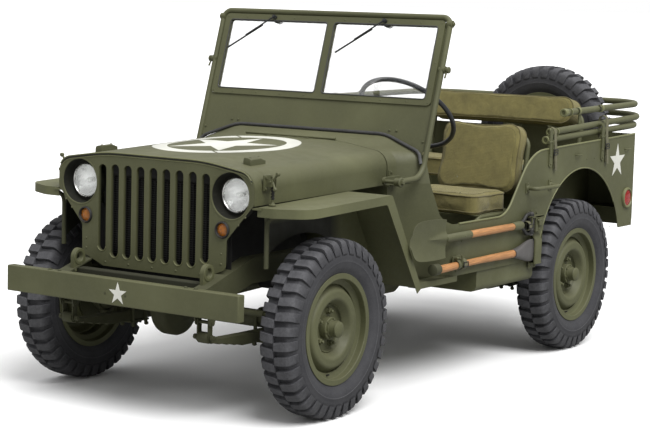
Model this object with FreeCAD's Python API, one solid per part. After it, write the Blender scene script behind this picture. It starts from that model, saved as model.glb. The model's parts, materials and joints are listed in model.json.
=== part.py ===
"""Open 4x4 military utility car, as separate solids in one frame.

Millimetres. While a piece is modelled, x = 0 is the rear axle, y = 0 the middle of the
car, z = 0 the ground, +x forward and +y to the driver's side. write_node() then moves
every piece by one shift, so that the origin is the middle of the car's underside.
"""
import FreeCAD, Part
import math
import os

V = FreeCAD.Vector

# ---------------------------------------------------------------- driving dimensions
wheelbase = 2032.0
track = 1245.0
body_half = 700.0                # half the width of the tub
seam_x = wheelbase - 618.0       # seam between hood and cowl
grille_x = wheelbase + 313.0     # face of the grille
sheet = 3.0                      # body panels
gap = 0.3                        # between soft or round pieces and what they lie on
running = 0.05                   # radial clearance of a pin in its bore
clearance = 5.0                  # between bodies that move past each other

# tyres and rims
tyre_r = 356.0
tyre_half = 80.0
tread_half = 58.0
bead_r = 203.0
flange_r = 221.0
rim_half = 62.0
rim_wall = 5.0
drop_r = 180.0                   # bottom of the rim's well
bulge_r = 135.0                  # crest of the raised ring in the wheel disc
bulge_w = 46.0
hub_r = 45.0
cap_r = 33.0
cap_w = 62.0
spindle_r = 20.0
spindle_end = 22.0               # past the wheel's middle plane
drum_r = 120.0
drum_depth = 58.0

# axles
axle_z = tyre_r
tube_r = 35.0
diff_y = -130.0
diff_r = 118.0
kingpin_y = track / 2 - 117.5
ball_r = 52.0
knuckle_wall = 8.0
kingpin_r = 10.0
arm_reach = 165.0                # kingpin to tie rod pin
arm_z = 388.0
steer_lock = 26.0                # degrees each way
tie_pin_r = 8.0
tie_rod_r = 13.0
open_pivot_gap = 1.0             # radial clearance where the linkage is opened

# chassis frame
rail_y = 342.0
rail_w = 60.0
rail_h = 100.0
rail_wall = 6.0
rail_taper_x = wheelbase + 148.0 # ahead of this the rails taper to the bumper
spring_y = rail_y
spring_w = 44.0
hanger_out = 11.0
leaf, leaves = 7.0, 6
front_spring_half = 410.0
rear_spring_half = 480.0
spring_eye_z = 338.0
shackle_rise = 60.0
bolt_r = 6.0
pan_z = 323.0                    # top of the dropped member under the gearbox

# front bumper
bumper_x = wheelbase + 520.0
bumper_half = 586.0
bumper_low, bumper_high = 433.0, 537.0
bumper_deep = 50.0
bumper_wall = 5.0
ring_x, ring_z = bumper_x - 140.0, 582.0
ring_r, ring_hole_r, ring_w = 35.0, 18.0, 16.0

# body tub
body_rear = -565.0
floor_z = 500.0
deck_z = 640.0                   # load floor
deck_front = 380.0
toe_low_x, toe_high = seam_x - 234.0, 690.0
side_low = 475.0
rear_low = 546.0
sill_z = 697.0
rim_front_z, rim_rear_z = 968.0, 1000.0
arch_z, arch_r = 440.0, 425.0
house_y = 455.0
house_top = 872.0
house_front = deck_front + 25.0

# cowl, hood, grille
dash_x = seam_x - 152.0
cowl_base_z = 870.0
flare_front, flare_rear = seam_x - 52.0, seam_x - 219.0    # where the body side leaves the hood's width
flare_r = 100.0                  # bend of the flare, less where the sheet ahead of it is short
hood_half = 497.0
hood_gap = 3.0
slot_pitch, slot_w = 65.0, 40.0
slot_top, slot_low = 957.0, 584.0
lamp_y, lamp_z, lamp_r = 379.0, 878.0, 82.0
lamp_hole_r = 94.0
marker_y, marker_z, marker_r = 345.0, 744.0, 34.0
radiator_x, radiator_low = grille_x - 90.0, 580.0
hinge_z = 1041.0
hinge_r = 5.0
block_x, block_y = grille_x - 155.0, 375.0

# fenders
fender_half = body_half + 7.0
fender_front_x, fender_front_z = grille_x - 10.0, 842.0
fender_rear_x, fender_rear_z = wheelbase - 332.0, 860.0
fender_lip = 36.0
skirt_low_x, skirt_low_z = wheelbase - 579.0, 456.0
apron_low, apron_front, apron_r = 500.0, grille_x - 57.0, tyre_r + 7

# windshield
ws_base_x, ws_base_z = seam_x - 160.4, 1059.0
ws_rake = 17.1                   # degrees back from upright
ws_tube_y, ws_tube_r = 600.0, 12.0
ws_top = 529.0                   # along the slope, middle of the top tube
ws_frame_low, ws_frame_high = 138.0, 513.0
ws_frame_half = 580.0
pane_in, pane_out = 19.0, 548.0
pane_low, pane_high = 165.0, 486.0
pivot_x, pivot_z = seam_x + 76.0, 889.0
pivot_pin_r = 8.0

# steering
wheel_x, wheel_y, wheel_z = seam_x - 411.0, 335.0, 1140.0
wheel_r, wheel_rim_r = 219.0, 10.5
column_tilt = 45.8               # degrees of the column above level
column_r = 19.0

# seats
seat_y, seat_half = 415.0, 225.0
seat_rear, seat_front, seat_z = 460.0, 900.0, 702.0
seat_lean = 11.0
cushion_h = 92.0
back_top = 1085.0
seat_tube_r = 11.0
pan_sink = 2.0                   # depth the seat tubes sink into their pans
back_thick, back_corner = 78.0, 60.0
rear_seat_half, rear_seat_lean = 430.0, 14.0
rear_seat_rear, rear_seat_front, rear_seat_z = -455.0, -60.0, 758.0
rear_back_low, rear_back_top = 1004.0, 1150.0
roll_thick, roll_corner = 104.0, 50.0

# spare wheel and top bows
spare_x, spare_y, spare_z = body_rear - 121.0, 140.0, 954.0
bow_y_front, bow_y_rear, bow_r, bow_bend = body_half - 17.0, body_half - 55.0, 15.0, 205.0
bow_brackets = (340.0, -196.0)
bracket_low, bracket_high = 890.0, 1064.0

# tools on the driver's side
tool_y, tool_r = body_half + 19.0, 16.0
shovel_z, axe_z = 648.0, 528.0
blade_rear, blade_front, blade_half = 1255.0, 1480.0, 95.0
blade_dish, blade_rim = 8.0, 11.0     # the blade's middle and edges, inside and outside the handle's line
socket_rear, yoke_x, grip_x, grip_half = 1040.0, 640.0, 535.0, 44.0
axe_rear, axe_front = 450.0, 1396.0
tool_clamps = [(1150.0, axe_z, 30.0), (1005.0, shovel_z, 24.0), (690.0, axe_z, 26.0), (720.0, shovel_z, 26.0)]
guard_rear, guard_front, guard_low, guard_high = 404.0, 440.0, 455.0, 700.0

# engine, gearbox and exhaust
engine_rear = seam_x + 86.0
engine_front = radiator_x - 105.0
shaft_z, shaft_r, joint_r = 400.0, 25.0, 38.0
muffler_y, muffler_z, pipe_r = -530.0, 425.0, 19.0

# levers, pedals, handles and rear fittings
pedal_x, pedal_rise = seam_x - 124.0, 78.0
handle_rear, handle_front, handle_z, handle_out, handle_r = 330.0, 548.0, 807.0, 52.0, 9.0
guard_bar_z, guard_bar_out, guard_bar_r = 584.0, 52.0, 14.0
hook_z = 574.0


# ---------------------------------------------------------------- shape helpers
def box(x0, x1, y0, y1, z0, z1):
    """A box between two values on each axis."""
    return Part.makeBox(x1 - x0, y1 - y0, z1 - z0, V(x0, y0, z0))


def rod(a, b, r):
    """A round bar from point a to point b."""
    a, b = V(*a), V(*b)
    return Part.makeCylinder(r, (b - a).Length, a, b - a)


def corners(points):
    """Edges of a closed outline of (a, b, fillet radius) corners, as lines and arcs."""
    n = len(points)
    marks = []
    for i, (a, b, r) in enumerate(points):
        p = V(a, b, 0)
        before = (V(*points[i - 1][:2], 0) - p).normalize()
        after = (V(*points[(i + 1) % n][:2], 0) - p).normalize()
        if r <= 0 or (before + after).Length < 1e-6:
            marks.append((p, None, p))
            continue
        half = before.getAngle(after) / 2.0
        run = r / math.tan(half)
        middle = (before + after).normalize()
        marks.append((p + before * run, p + middle * (r / math.sin(half) - r), p + after * run))
    edges = []
    for i, (start, mid, end) in enumerate(marks):
        if mid is not None:
            edges.append(Part.Arc(start, mid, end).toShape())
        nxt = marks[(i + 1) % n][0]
        if (nxt - end).Length > 1e-6:
            edges.append(Part.LineSegment(end, nxt).toShape())
    return edges


def outline(points, axis="z", at=0.0):
    """A closed wire of rounded corners, in the plane square to the axis."""
    wire = Part.Wire(corners(points))
    m = {"z": FreeCAD.Matrix(1, 0, 0, 0, 0, 1, 0, 0, 0, 0, 1, at, 0, 0, 0, 1),
         "y": FreeCAD.Matrix(1, 0, 0, 0, 0, 0, -1, at, 0, 1, 0, 0, 0, 0, 0, 1),
         "x": FreeCAD.Matrix(0, 0, 1, at, 1, 0, 0, 0, 0, 1, 0, 0, 0, 0, 0, 1)}[axis]
    wire.transformShape(m)
    return wire


def prism(points, axis, low, high):
    """An outline of rounded corners, made solid between two values on the axis.

    The corners are (x, y) for axis z, (x, z) for axis y and (y, z) for axis x.
    """
    along = {"x": V(1, 0, 0), "y": V(0, 1, 0), "z": V(0, 0, 1)}[axis]
    return Part.Face(outline(points, axis, low)).extrude(along * (high - low))


def rounded_box(x0, x1, y0, y1, z0, z1, r, axis="z"):
    """A box with its four edges along one axis rounded."""
    spans = {"x": (y0, y1, z0, z1, x0, x1), "y": (x0, x1, z0, z1, y0, y1),
             "z": (x0, x1, y0, y1, z0, z1)}[axis]
    a0, a1, b0, b1, low, high = spans
    return prism([(a0, b0, r), (a1, b0, r), (a1, b1, r), (a0, b1, r)], axis, low, high)


def turned(profile, centre, direction):
    """A closed (along, radius) profile turned about a line through centre."""
    wire = Part.Wire(corners([(w, r, f) for w, r, f in profile]))
    solid = Part.Face(wire).revolve(V(0, 0, 0), V(1, 0, 0), 360)
    solid.Placement = FreeCAD.Placement(
        V(*centre), FreeCAD.Rotation(V(1, 0, 0), V(*direction)))
    return solid


def bent_tube(points, bends, r):
    """A round tube along straight runs joined by tangent arcs: one bend radius, or one a corner."""
    p = [V(*q) for q in points]
    bends = bends if isinstance(bends, list) else [bends] * (len(p) - 2)
    ends = [(p[0], None, p[0])]
    for i in range(1, len(p) - 1):
        before = (p[i - 1] - p[i]).normalize()
        after = (p[i + 1] - p[i]).normalize()
        half = before.getAngle(after) / 2.0
        bend = bends[i - 1]
        run = bend / math.tan(half)
        middle = (before + after).normalize()
        ends.append((p[i] + before * run, p[i] + middle * (bend / math.sin(half) - bend),
                     p[i] + after * run))
    ends.append((p[-1], None, p[-1]))
    edges = []
    for i, (start, mid, end) in enumerate(ends):
        if mid is not None:
            edges.append(Part.Arc(start, mid, end).toShape())
        if i + 1 < len(ends) and (ends[i + 1][0] - end).Length > 1e-6:
            edges.append(Part.LineSegment(end, ends[i + 1][0]).toShape())
    path = Part.Wire(edges)
    ring = Part.Wire([Part.Circle(p[0], (p[1] - p[0]).normalize(), r).toShape()])
    return path.makePipeShell([ring], True, False)


def mirrored(shape):
    """The same piece on the other side of the car."""
    return shape.mirror(V(0, 0, 0), V(0, 1, 0))


def both(shape):
    """A piece and its mirror image."""
    return [shape, mirrored(shape)]


def fuse(*shapes):
    """One solid from pieces that meet."""
    joined = shapes[0].multiFuse(list(shapes[1:])) if len(shapes) > 1 else shapes[0]
    return joined.removeSplitter()


def cut(shape, *tools):
    """A piece with others taken out of it."""
    return shape.cut(Part.makeCompound(list(tools)))


def shift_x():
    """How far every piece moves along x to put the origin at the middle."""
    rear = min(bow[2] for bow in bows)
    return -(bumper_x + rear - bow_r) / 2.0


def write_node(name, *pieces):
    """Move the pieces into the car's frame and write them as one node."""
    shape = Part.makeCompound(list(pieces)) if len(pieces) > 1 else pieces[0]
    shape = shape.copy()
    shape.translate(V(shift_x(), 0, 0))
    shape.exportStep("parts/" + name + ".step")


# ---------------------------------------------------------------- wheels
def wheel_disc():
    """Well-base rim with its domed disc, about its middle, +x outward."""
    side, seat, flange = rim_half - rim_wall, bead_r, flange_r
    well = turned([(-rim_half, flange, 2), (-side, flange, 2), (-side, seat, 0), (-30, seat, 0),
                   (-22, drop_r, 0), (22, drop_r, 0), (30, seat, 0), (side, seat, 0),
                   (side, flange, 2), (rim_half, flange, 2), (rim_half, seat - rim_wall, 3),
                   (34, seat - rim_wall, 3), (26, drop_r - rim_wall, 3),
                   (-26, drop_r - rim_wall, 3), (-34, seat - rim_wall, 3),
                   (-rim_half, seat - rim_wall, 3)], (0, 0, 0), (1, 0, 0))
    foot, lip = bulge_w - 30.0, 37.0
    disc = turned([(foot, drop_r - rim_wall, 0), (foot, bulge_r + lip, 6), (bulge_w, bulge_r + 18, 18),
                   (bulge_w, bulge_r - 18, 18), (foot, bulge_r - lip, 6), (0, bulge_r - lip - 8, 6),
                   (0, hub_r - 5, 0), (-6, hub_r - 5, 0), (-6, bulge_r - lip - 4, 8),
                   (foot - 6, bulge_r - lip + 4, 6), (bulge_w - 6, bulge_r - 14, 14),
                   (bulge_w - 6, bulge_r + 14, 14), (foot - 6, bulge_r + lip - 4, 6),
                   (foot - 6, drop_r - rim_wall, 0)], (0, 0, 0), (1, 0, 0))
    return fuse(well, disc)


def hub_and_drum():
    """Hub with its cap and brake drum, bored for the spindle."""
    hub = turned([(-48, 0, 0), (-48, hub_r, 3), (30, hub_r, 4), (30, cap_r, 0), (cap_w, cap_r - 3, 6),
                  (cap_w, 0, 0)], (0, 0, 0), (1, 0, 0))
    drum = turned([(-6, hub_r - 5, 0), (-6, drum_r, 6), (-12 - drum_depth, drum_r, 0),
                   (-12 - drum_depth, drum_r - 6, 0), (-12, drum_r - 6, 4), (-12, hub_r - 5, 0)],
                  (0, 0, 0), (1, 0, 0))
    bore = Part.makeCylinder(spindle_r + running, 50 + spindle_end + 3, V(-50, 0, 0), V(1, 0, 0))
    return cut(fuse(hub, drum), bore)


def tyre():
    """Carcass between the rim's flanges, about its middle, +x outward."""
    side = rim_half - rim_wall
    shoulder = tyre_r - 14.0
    belly = (tyre_r + flange_r) / 2.0
    return turned([(-side, bead_r, 0), (-side, flange_r + 3, 4), (-tyre_half, belly, 60),
                   (-tread_half - 8, shoulder, 16), (-tread_half + 8, tyre_r, 16),
                   (tread_half - 8, tyre_r, 16), (tread_half + 8, shoulder, 16),
                   (tyre_half, belly, 60), (side, flange_r + 3, 4), (side, bead_r, 0),
                   (30, bead_r, 0), (22, drop_r, 0), (-22, drop_r, 0), (-30, bead_r, 0)],
                  (0, 0, 0), (1, 0, 0))


def placed(shape, centre, outward):
    """A wheel part set at its centre with its outer face to one side."""
    shape = shape.copy()
    shape.Placement = FreeCAD.Placement(V(*centre), FreeCAD.Rotation(V(1, 0, 0), V(*outward)))
    return shape


def make_wheels():
    """Four road wheels and the spare, rim and tyre apart."""
    places = [  # name, centre, outward
        ("front_left", (wheelbase, track / 2, axle_z), (0, 1, 0)),
        ("front_right", (wheelbase, -track / 2, axle_z), (0, -1, 0)),
        ("rear_left", (0, track / 2, axle_z), (0, 1, 0)),
        ("rear_right", (0, -track / 2, axle_z), (0, -1, 0)),
        ("spare", (spare_x, spare_y, spare_z), (-1, 0, 0)),
    ]
    disc, tyre_shape = wheel_disc(), tyre()
    road = fuse(disc, hub_and_drum())
    for name, centre, outward in places:
        write_node(name + "_rim", placed(disc if name == "spare" else road, centre, outward))
        write_node(name + "_tyre", placed(tyre_shape, centre, outward))


# ---------------------------------------------------------------- axles and steering
def spindle(y0):
    """Spindle and brake backing plate outward from y0, on the left at the rear axle's x."""
    middle = track / 2
    plate_y = middle - 12 - drum_depth - 8
    pin = rod((0, y0, axle_z), (0, middle + spindle_end, axle_z), spindle_r)
    plate = rod((0, plate_y - 4, axle_z), (0, plate_y, axle_z), drum_r - 2)
    return fuse(pin, plate)


def axle_tube(x, half, nose):
    """Axle tube with the round differential housing and its pinion nose."""
    tube = rod((x, -half, axle_z), (x, half, axle_z), tube_r)
    bowl = turned([(-62, 0, 0), (-62, 50, 14), (-38, diff_r, 26), (38, diff_r, 26), (62, 50, 14),
                   (62, 0, 0)], (x, diff_y, axle_z), (0, 1, 0))
    cone = turned([(0, 0, 0), (0, 70, 0), (120, 52, 10), (175, 36, 6), (175, 0, 0)],
                  (x, diff_y, axle_z), (nose, 0, 0.1))
    return fuse(tube, bowl, cone)


def make_axles():
    """Rear axle with its spindles, front axle with ball ends, knuckles and tie rod."""
    end = spindle(track / 2 - 12 - drum_depth - 8 - 30)
    rear = fuse(axle_tube(0, track / 2 - 12 - drum_depth - 10, 1), end, mirrored(end))
    write_node("rear_axle", rear)

    ball = Part.makeSphere(ball_r, V(wheelbase, kingpin_y, axle_z))
    hole = rod((wheelbase, kingpin_y, axle_z - ball_r - 5), (wheelbase, kingpin_y, axle_z + ball_r + 5),
               kingpin_r + running)
    ball = cut(ball, hole)
    front = fuse(axle_tube(wheelbase, kingpin_y - ball_r + 12, -1), ball, mirrored(ball))
    write_node("front_axle", front)

    left = knuckle()
    write_node("steering_knuckle_left", left)
    write_node("steering_knuckle_right", mirrored(left))
    make_tie_rod()


def knuckle():
    """Left swivel housing round the axle's ball, with kingpins, spindle and steering arm."""
    x, y, z = wheelbase, kingpin_y, axle_z
    outer = ball_r + gap + knuckle_wall
    shell = Part.makeSphere(outer, V(x, y, z))
    shell = shell.cut(Part.makeSphere(ball_r + gap, V(x, y, z)))
    shell = shell.cut(box(x - 100, x + 100, y - 100, y - 14, z - 100, z + 100))
    pieces = [shell]
    for up in (1, -1):
        pieces.append(rod((x, y, z + up * (ball_r - 16)), (x, y, z + up * (outer + 8)), kingpin_r))
        pieces.append(rod((x, y, z + up * (outer - 4)), (x, y, z + up * (outer + 6)), 24))
    stub = spindle(y + outer - 4)
    stub.translate(V(x, 0, 0))
    plate_y = track / 2 - 12 - drum_depth - 8
    collar = rod((x, plate_y - 4, z), (x, y + outer + 4, z), 50)
    swept = Part.makeSphere(ball_r + gap, V(x, y, z))
    pieces += [stub.cut(swept), collar.cut(swept)]
    pin_x = x + arm_reach
    arm = prism([(x + 30, y - 20, 4), (pin_x, y - 18, 17), (pin_x + 18, y, 17), (pin_x, y + 18, 17),
                 (x + 30, y + 20, 4)], "z", arm_z, arm_z + 12)
    arm = arm.cut(swept)
    pin = rod((pin_x, y, arm_z + 4), (pin_x, y, arm_z + 32), tie_pin_r)
    pieces += [arm, pin]
    return fuse(*pieces)


def make_tie_rod():
    """Tie rod over the two steering arms: its right eye is the open pivot."""
    x, low = wheelbase + arm_reach, arm_z + 12 + 0.5
    bar = rod((x, -kingpin_y, low + 8), (x, kingpin_y, low + 8), tie_rod_r - 6)
    body = rod((x, -kingpin_y + 60, low + 8), (x, kingpin_y - 60, low + 8), tie_rod_r)
    pieces = [bar, body]
    holes = []
    for side, spare in ((1, running), (-1, open_pivot_gap)):
        y = side * kingpin_y
        pieces.append(rod((x, y, low), (x, y, low + 16), 18))
        holes.append(rod((x, y, low - 5), (x, y, low + 25), tie_pin_r + spare))
    write_node("tie_rod", cut(fuse(*pieces), *holes))


def column_direction():
    """Unit vector up the steering column."""
    t = math.radians(column_tilt)
    return V(-math.cos(t), 0, math.sin(t))


def along_column(s):
    """Point on the column's line, s mm above the steering wheel's middle."""
    return V(wheel_x, wheel_y, wheel_z) + column_direction() * s


def make_steering():
    """Steering wheel, and its column with the steering box on the left rail."""
    up = column_direction()
    ring = Part.makeTorus(wheel_r, wheel_rim_r, V(0, 0, 0), V(1, 0, 0))
    hub = Part.makeCylinder(26, 40, V(-34, 0, 0), V(1, 0, 0))
    spokes = []
    for turn in (90, 210, 330):
        a = math.radians(turn)
        tip = (0, (wheel_r - 2) * math.cos(a), (wheel_r - 2) * math.sin(a))
        spokes.append(rod((-12, 12 * math.cos(a), 12 * math.sin(a)), tip, 5))
    bore = Part.makeCylinder(10 + running, 30, V(-40, 0, 0), V(1, 0, 0))
    wheel = cut(fuse(ring, hub, *spokes), bore)
    wheel.Placement = FreeCAD.Placement(along_column(0), FreeCAD.Rotation(V(1, 0, 0), up))
    write_node("steering_wheel", wheel)

    foot = -815.0
    jacket = Part.makeCylinder(column_r, -foot - 40, along_column(foot), up)
    stub = Part.makeCylinder(10, 33, along_column(-45), up)
    a = along_column(foot)
    gear = rounded_box(a.x - 55, a.x + 55, a.y - 40, a.y + 35, a.z - 60, a.z + 45, 18, "y")
    gear = gear.cut(rail_band(-gap, rail_y - rail_w / 2 - gap, rail_y + rail_w / 2 + gap))
    write_node("steering_column", fuse(jacket, stub, gear))


# ---------------------------------------------------------------- chassis
rail_top = [  # x, z of the rail's top edge, from the rear end to the bumper
    (body_rear + 8, deck_z - gap), (90.0, deck_z - gap), (deck_front - 30, floor_z - gap),
    (seam_x + 56, floor_z - gap), (wheelbase - 292, 620.0), (rail_taper_x, 620.0),
    (bumper_x - 82, 531.0), (bumper_x - bumper_wall, 531.0),
]


def rail_z(x):
    """Height of the rail's top edge at x."""
    for (xa, za), (xb, zb) in zip(rail_top, rail_top[1:]):
        if xa <= x <= xb:
            return za + (zb - za) * (x - xa) / (xb - xa)
    return rail_top[-1][1]


def rail_depth(x):
    """Depth of the rail at x: it tapers to fit behind the bumper."""
    front = bumper_x - bumper_wall
    return rail_h if x < rail_taper_x else rail_h - 8.0 * (x - rail_taper_x) / (front - rail_taper_x)


def rail_band(inset, low, high):
    """Side outline of the rail, inset from its edges, between two values of y."""
    top = [(x, z - inset, 60) for x, z in rail_top]
    under = [(x, z - rail_depth(x) + inset, 60) for x, z in rail_top]
    for edge in (top, under):
        edge[0] = edge[0][:2] + (0,)
        edge[-1] = edge[-1][:2] + (0,)
    return prism(top + under[::-1], "y", low, high)


def make_frame():
    """Two channel rails open inward, with cross members and spring hangers."""
    outer, inner = rail_y + rail_w / 2, rail_y - rail_w / 2
    channel = rail_band(0, inner, outer).cut(rail_band(rail_wall, inner - 1, outer - rail_wall))
    web = outer - rail_wall
    hanger = spring_y - spring_w / 2 - hanger_out - 3 - gap
    members = [  # x, width along x, top, depth, half length
        (body_rear + 45, 50.0, deck_z - 8, 84.0, web), (60.0, 60.0, deck_z - 12, 60.0, web),
        (deck_front + 180, 60.0, floor_z - 14, 60.0, web), (engine_rear + 75, 60.0, floor_z - 14, 55.0, hanger),
        (radiator_x, 50.0, radiator_low - gap, 50.0, web), (bumper_x - 152, 44.0, 540.0, 60.0, web),
    ]
    cross = []
    for x, wide, top, deep, half in members:
        member = rounded_box(x - wide / 2, x + wide / 2, -half, half, top - deep, top, 6, "y")
        w = rail_wall / 2
        hollow = box(x - wide / 2 + w, x + wide / 2 - w, -half - 1, half + 1, top - deep - 1, top - w)
        cross.append(cut(member, hollow, *both(channel)))
    write_node("cross_members", *cross)
    saddle = [(web, floor_z - 60, 0), (web, floor_z - 96, 20), (290.0, floor_z - 96, 40),
              (220.0, pan_z - 5, 40)]
    inset = [(y - 4, z + (5 if z < floor_z - 60 else 0), r) for y, z, r in saddle]
    plate = prism(saddle + [(-y, z, r) for y, z, r in reversed(saddle)]
                  + [(-y, z, r) for y, z, r in inset] + [(y, z, r) for y, z, r in reversed(inset)],
                  "x", engine_rear - 620, engine_rear - 420)
    write_node("gearbox_cross_member", cut(plate, *both(channel)))
    pins_and_plates = []
    hangers = [  # x of the pin, z of the pin
        (wheelbase + front_spring_half, spring_eye_z + shackle_rise),
        (wheelbase - front_spring_half, spring_eye_z),
        (rear_spring_half, spring_eye_z), (-rear_spring_half, spring_eye_z + shackle_rise),
    ]
    for x, z in hangers:
        top = rail_z(x) - rail_depth(x) + rail_wall
        for side in (1, -1):
            y = spring_y + side * (spring_w / 2 + hanger_out)
            plate = prism([(x - 34, top, 0), (x + 34, top, 0), (x + 14, z - 14, 12),
                           (x - 14, z - 14, 12)], "y", y - 3, y + 3)
            pins_and_plates.append(plate)
        pins_and_plates.append(rod((x, spring_y - spring_w / 2 - 16, z), (x, spring_y + spring_w / 2 + 16, z), 7))
    write_node("chassis_rails", *both(fuse(channel, *pins_and_plates)))


def arched(half, rise, thick, top):
    """A leaf: an arc of one thickness, symmetrical about x = 0, its ends above its middle."""
    a, m, b = V(-half, 0, top + rise), V(0, 0, top), V(half, 0, top + rise)
    down = V(0, 0, -thick)
    wire = Part.Wire([Part.Arc(a, m, b).toShape(), Part.LineSegment(b, b + down).toShape(),
                      Part.Arc(b + down, m + down, a + down).toShape(),
                      Part.LineSegment(a + down, a).toShape()])
    return Part.Face(wire).extrude(V(0, spring_w, 0))


def leaf_pack(x, half, shackle):
    """Leaves, eyes, shackle and axle clamps of one spring, on the left."""
    top = axle_z - tube_r
    rise = spring_eye_z - 17 - top + leaf
    pieces = []
    for i in range(leaves):
        reach = half if i == 0 else half - 14 - 50.0 * (i - 1)
        bend = rise * (reach / half) ** 2
        pieces.append(arched(reach, bend, leaf, top - leaf * i))
    for end in (-1, 1):
        eye = Part.makeCylinder(17, spring_w, V(end * half, 0, spring_eye_z), V(0, 1, 0))
        pieces.append(eye)
    pack = fuse(*pieces)
    for end in (-1, 1):
        pack = pack.cut(Part.makeCylinder(7 + running, spring_w + 4, V(end * half, -2, spring_eye_z),
                                          V(0, 1, 0)))
    low = top - leaves * leaf
    r = tube_r + bolt_r
    clamp = [box(-60, 60, -8, spring_w + 8, low - 8, low)]
    for dy in (-4, spring_w + 4):
        clamp.append(bent_tube([(-r, dy, low - 14), (-r, dy, axle_z + r), (r, dy, axle_z + r),
                                (r, dy, low - 14)], r - 0.5, bolt_r))
    pack = fuse(pack, *clamp)
    pieces = [pack]
    if shackle:
        end = shackle * half
        for dy in (-7, spring_w + 1):
            link = prism([(end - 12, spring_eye_z - 14, 11), (end + 12, spring_eye_z - 14, 11),
                          (end + 12, spring_eye_z + shackle_rise + 14, 11),
                          (end - 12, spring_eye_z + shackle_rise + 14, 11)], "y", dy, dy + 6)
            link = link.cut(rod((end, dy - 2, spring_eye_z + shackle_rise),
                                (end, dy + 8, spring_eye_z + shackle_rise), 7 + running))
            pieces.append(link)
        pin = rod((end, -7, spring_eye_z), (end, spring_w + 7, spring_eye_z), 7)
        pieces.append(pin)
        pieces = [fuse(*pieces)]
    shape = pieces[0]
    shape.translate(V(x, spring_y - spring_w / 2, 0))
    return shape


def make_springs():
    """Four leaf springs under the axles."""
    front = leaf_pack(wheelbase, front_spring_half, 1)
    rear = leaf_pack(0, rear_spring_half, -1)
    write_node("leaf_springs", *both(front), *both(rear))


def make_bumper():
    """Front bumper channel, and the lifting eyes on the rails behind it."""
    back = bumper_x - bumper_deep
    plan = [(back, -bumper_half, 4), (bumper_x, -bumper_half, 22), (bumper_x, bumper_half, 22),
            (back, bumper_half, 4)]
    w = bumper_wall
    hollow = box(back - 1, bumper_x - w, -bumper_half + w, bumper_half - w, bumper_low + w, bumper_high - w)
    write_node("front_bumper", prism(plan, "z", bumper_low, bumper_high).cut(hollow))

    eye = box(ring_x - ring_r, ring_x + ring_r, rail_y - 16 - ring_w / 2, rail_y - 16 + ring_w / 2, 500, ring_z)
    head = rod((ring_x, rail_y - 16 - ring_w / 2, ring_z), (ring_x, rail_y - 16 + ring_w / 2, ring_z), ring_r)
    hole = rod((ring_x, rail_y - 30 - ring_w, ring_z), (ring_x, rail_y + ring_w, ring_z), ring_hole_r)
    write_node("lifting_eyes", *both(cut(fuse(eye, head), hole, rail_band(-gap, 0, body_half))))


def make_drive():
    """Engine block, gearbox with transfer case, propeller shafts, exhaust, fuel tank, radiator."""
    block = rounded_box(engine_rear, engine_front, -125, 125, 525, 940, 25, "x")
    foot_x = engine_rear + 75
    feet = [box(foot_x - 15, foot_x + 15, y - 30, y + 30, floor_z - 14 + gap, 530) for y in (-80, 80)]
    write_node("engine", fuse(block, *feet))
    box_top = floor_z - 4
    case_rear, case_front = engine_rear - 570, engine_rear - 380
    gearbox = rounded_box(engine_rear - 490, engine_rear - gap, -90, 90, 380, box_top, 20, "x")
    transfer = rounded_box(case_rear, case_front, -205, -40, pan_z + gap, box_top - 20, 30, "x")
    bell = rounded_box(engine_rear - 60, engine_rear - gap, -120, 120, 400, 640, 40, "x")
    write_node("gearbox", fuse(gearbox, transfer, bell))
    shafts = []
    nose = 176.2
    for x0, x1 in ((case_front + gap, wheelbase - nose), (case_rear - gap, nose)):
        step = 1 if x1 > x0 else -1
        shafts.append(fuse(rod((x0 + step * 20, diff_y, shaft_z), (x1, diff_y, axle_z + 17), shaft_r),
                           rod((x0, diff_y, shaft_z), (x0 + step * 40, diff_y, shaft_z), joint_r)))
    write_node("propeller_shafts", *shafts)
    rear = engine_rear - 880
    y, z = muffler_y, muffler_z
    muffler = rounded_box(rear, rear + 430, y - 60, y + 60, z - 45, z + 45, 40, "x")
    straps = [box(x, x + 30, y - 30, y + 30, z + 35, floor_z - gap) for x in (rear + 60, rear + 340)]
    pipe = bent_tube([(engine_rear + 35, -125 - gap, 640), (engine_rear + 35, -170, 640),
                      (engine_rear - 20, -180, 372), (engine_rear - 170, -440, 372), (rear + 420, y, z)],
                     [24, 50, 60], pipe_r)
    tail = bent_tube([(rear + 10, y, z), (rear - 140, y, z), (rear - 200, y - 80, z + 15)], 40, pipe_r - 1)
    write_node("exhaust", fuse(muffler, pipe, tail, *straps))
    write_node("fuel_tank", rounded_box(450, 965, 378, 690, 380, floor_z - gap, 30, "x"))
    core = rounded_box(radiator_x - 30, radiator_x + 30, -255, 255, radiator_low, 900, 4, "x")
    tank = rounded_box(radiator_x - 40, radiator_x + 40, -262, 262, 900, 965, 20, "y")
    write_node("radiator", fuse(core, tank))


# ---------------------------------------------------------------- hood, grille, cowl
def section(half_low, z_low, half_high, z_corner, corner_r, crown_y, z_crown, crown_r, inset):
    """Corners of an arched cross section, inset by a wall's thickness."""
    left = [(half_low - inset, z_low, 0), (half_high - inset, z_corner - inset, corner_r - inset),
            (crown_y, z_crown - inset, crown_r)]
    return left + [(-y, z, r) for y, z, r in reversed(left)]


def arched_shell(rows, wall):
    """A shell through arched sections, open below. Each row is x and the section's values."""
    outer = [outline(section(*row[1:], 0), "x", row[0]) for row in rows]
    last = len(rows) - 1
    inner = []
    for i, row in enumerate(rows):
        x = row[0] + (-1 if i == 0 else 1 if i == last else 0) * (1 if rows[-1][0] > rows[0][0] else -1)
        low = (row[1], row[2] - 5) + tuple(row[3:])
        inner.append(outline(section(*low, wall), "x", x))
    solid = Part.makeLoft(outer, True, True)
    return solid.cut(Part.makeLoft(inner, True, True))


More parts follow.
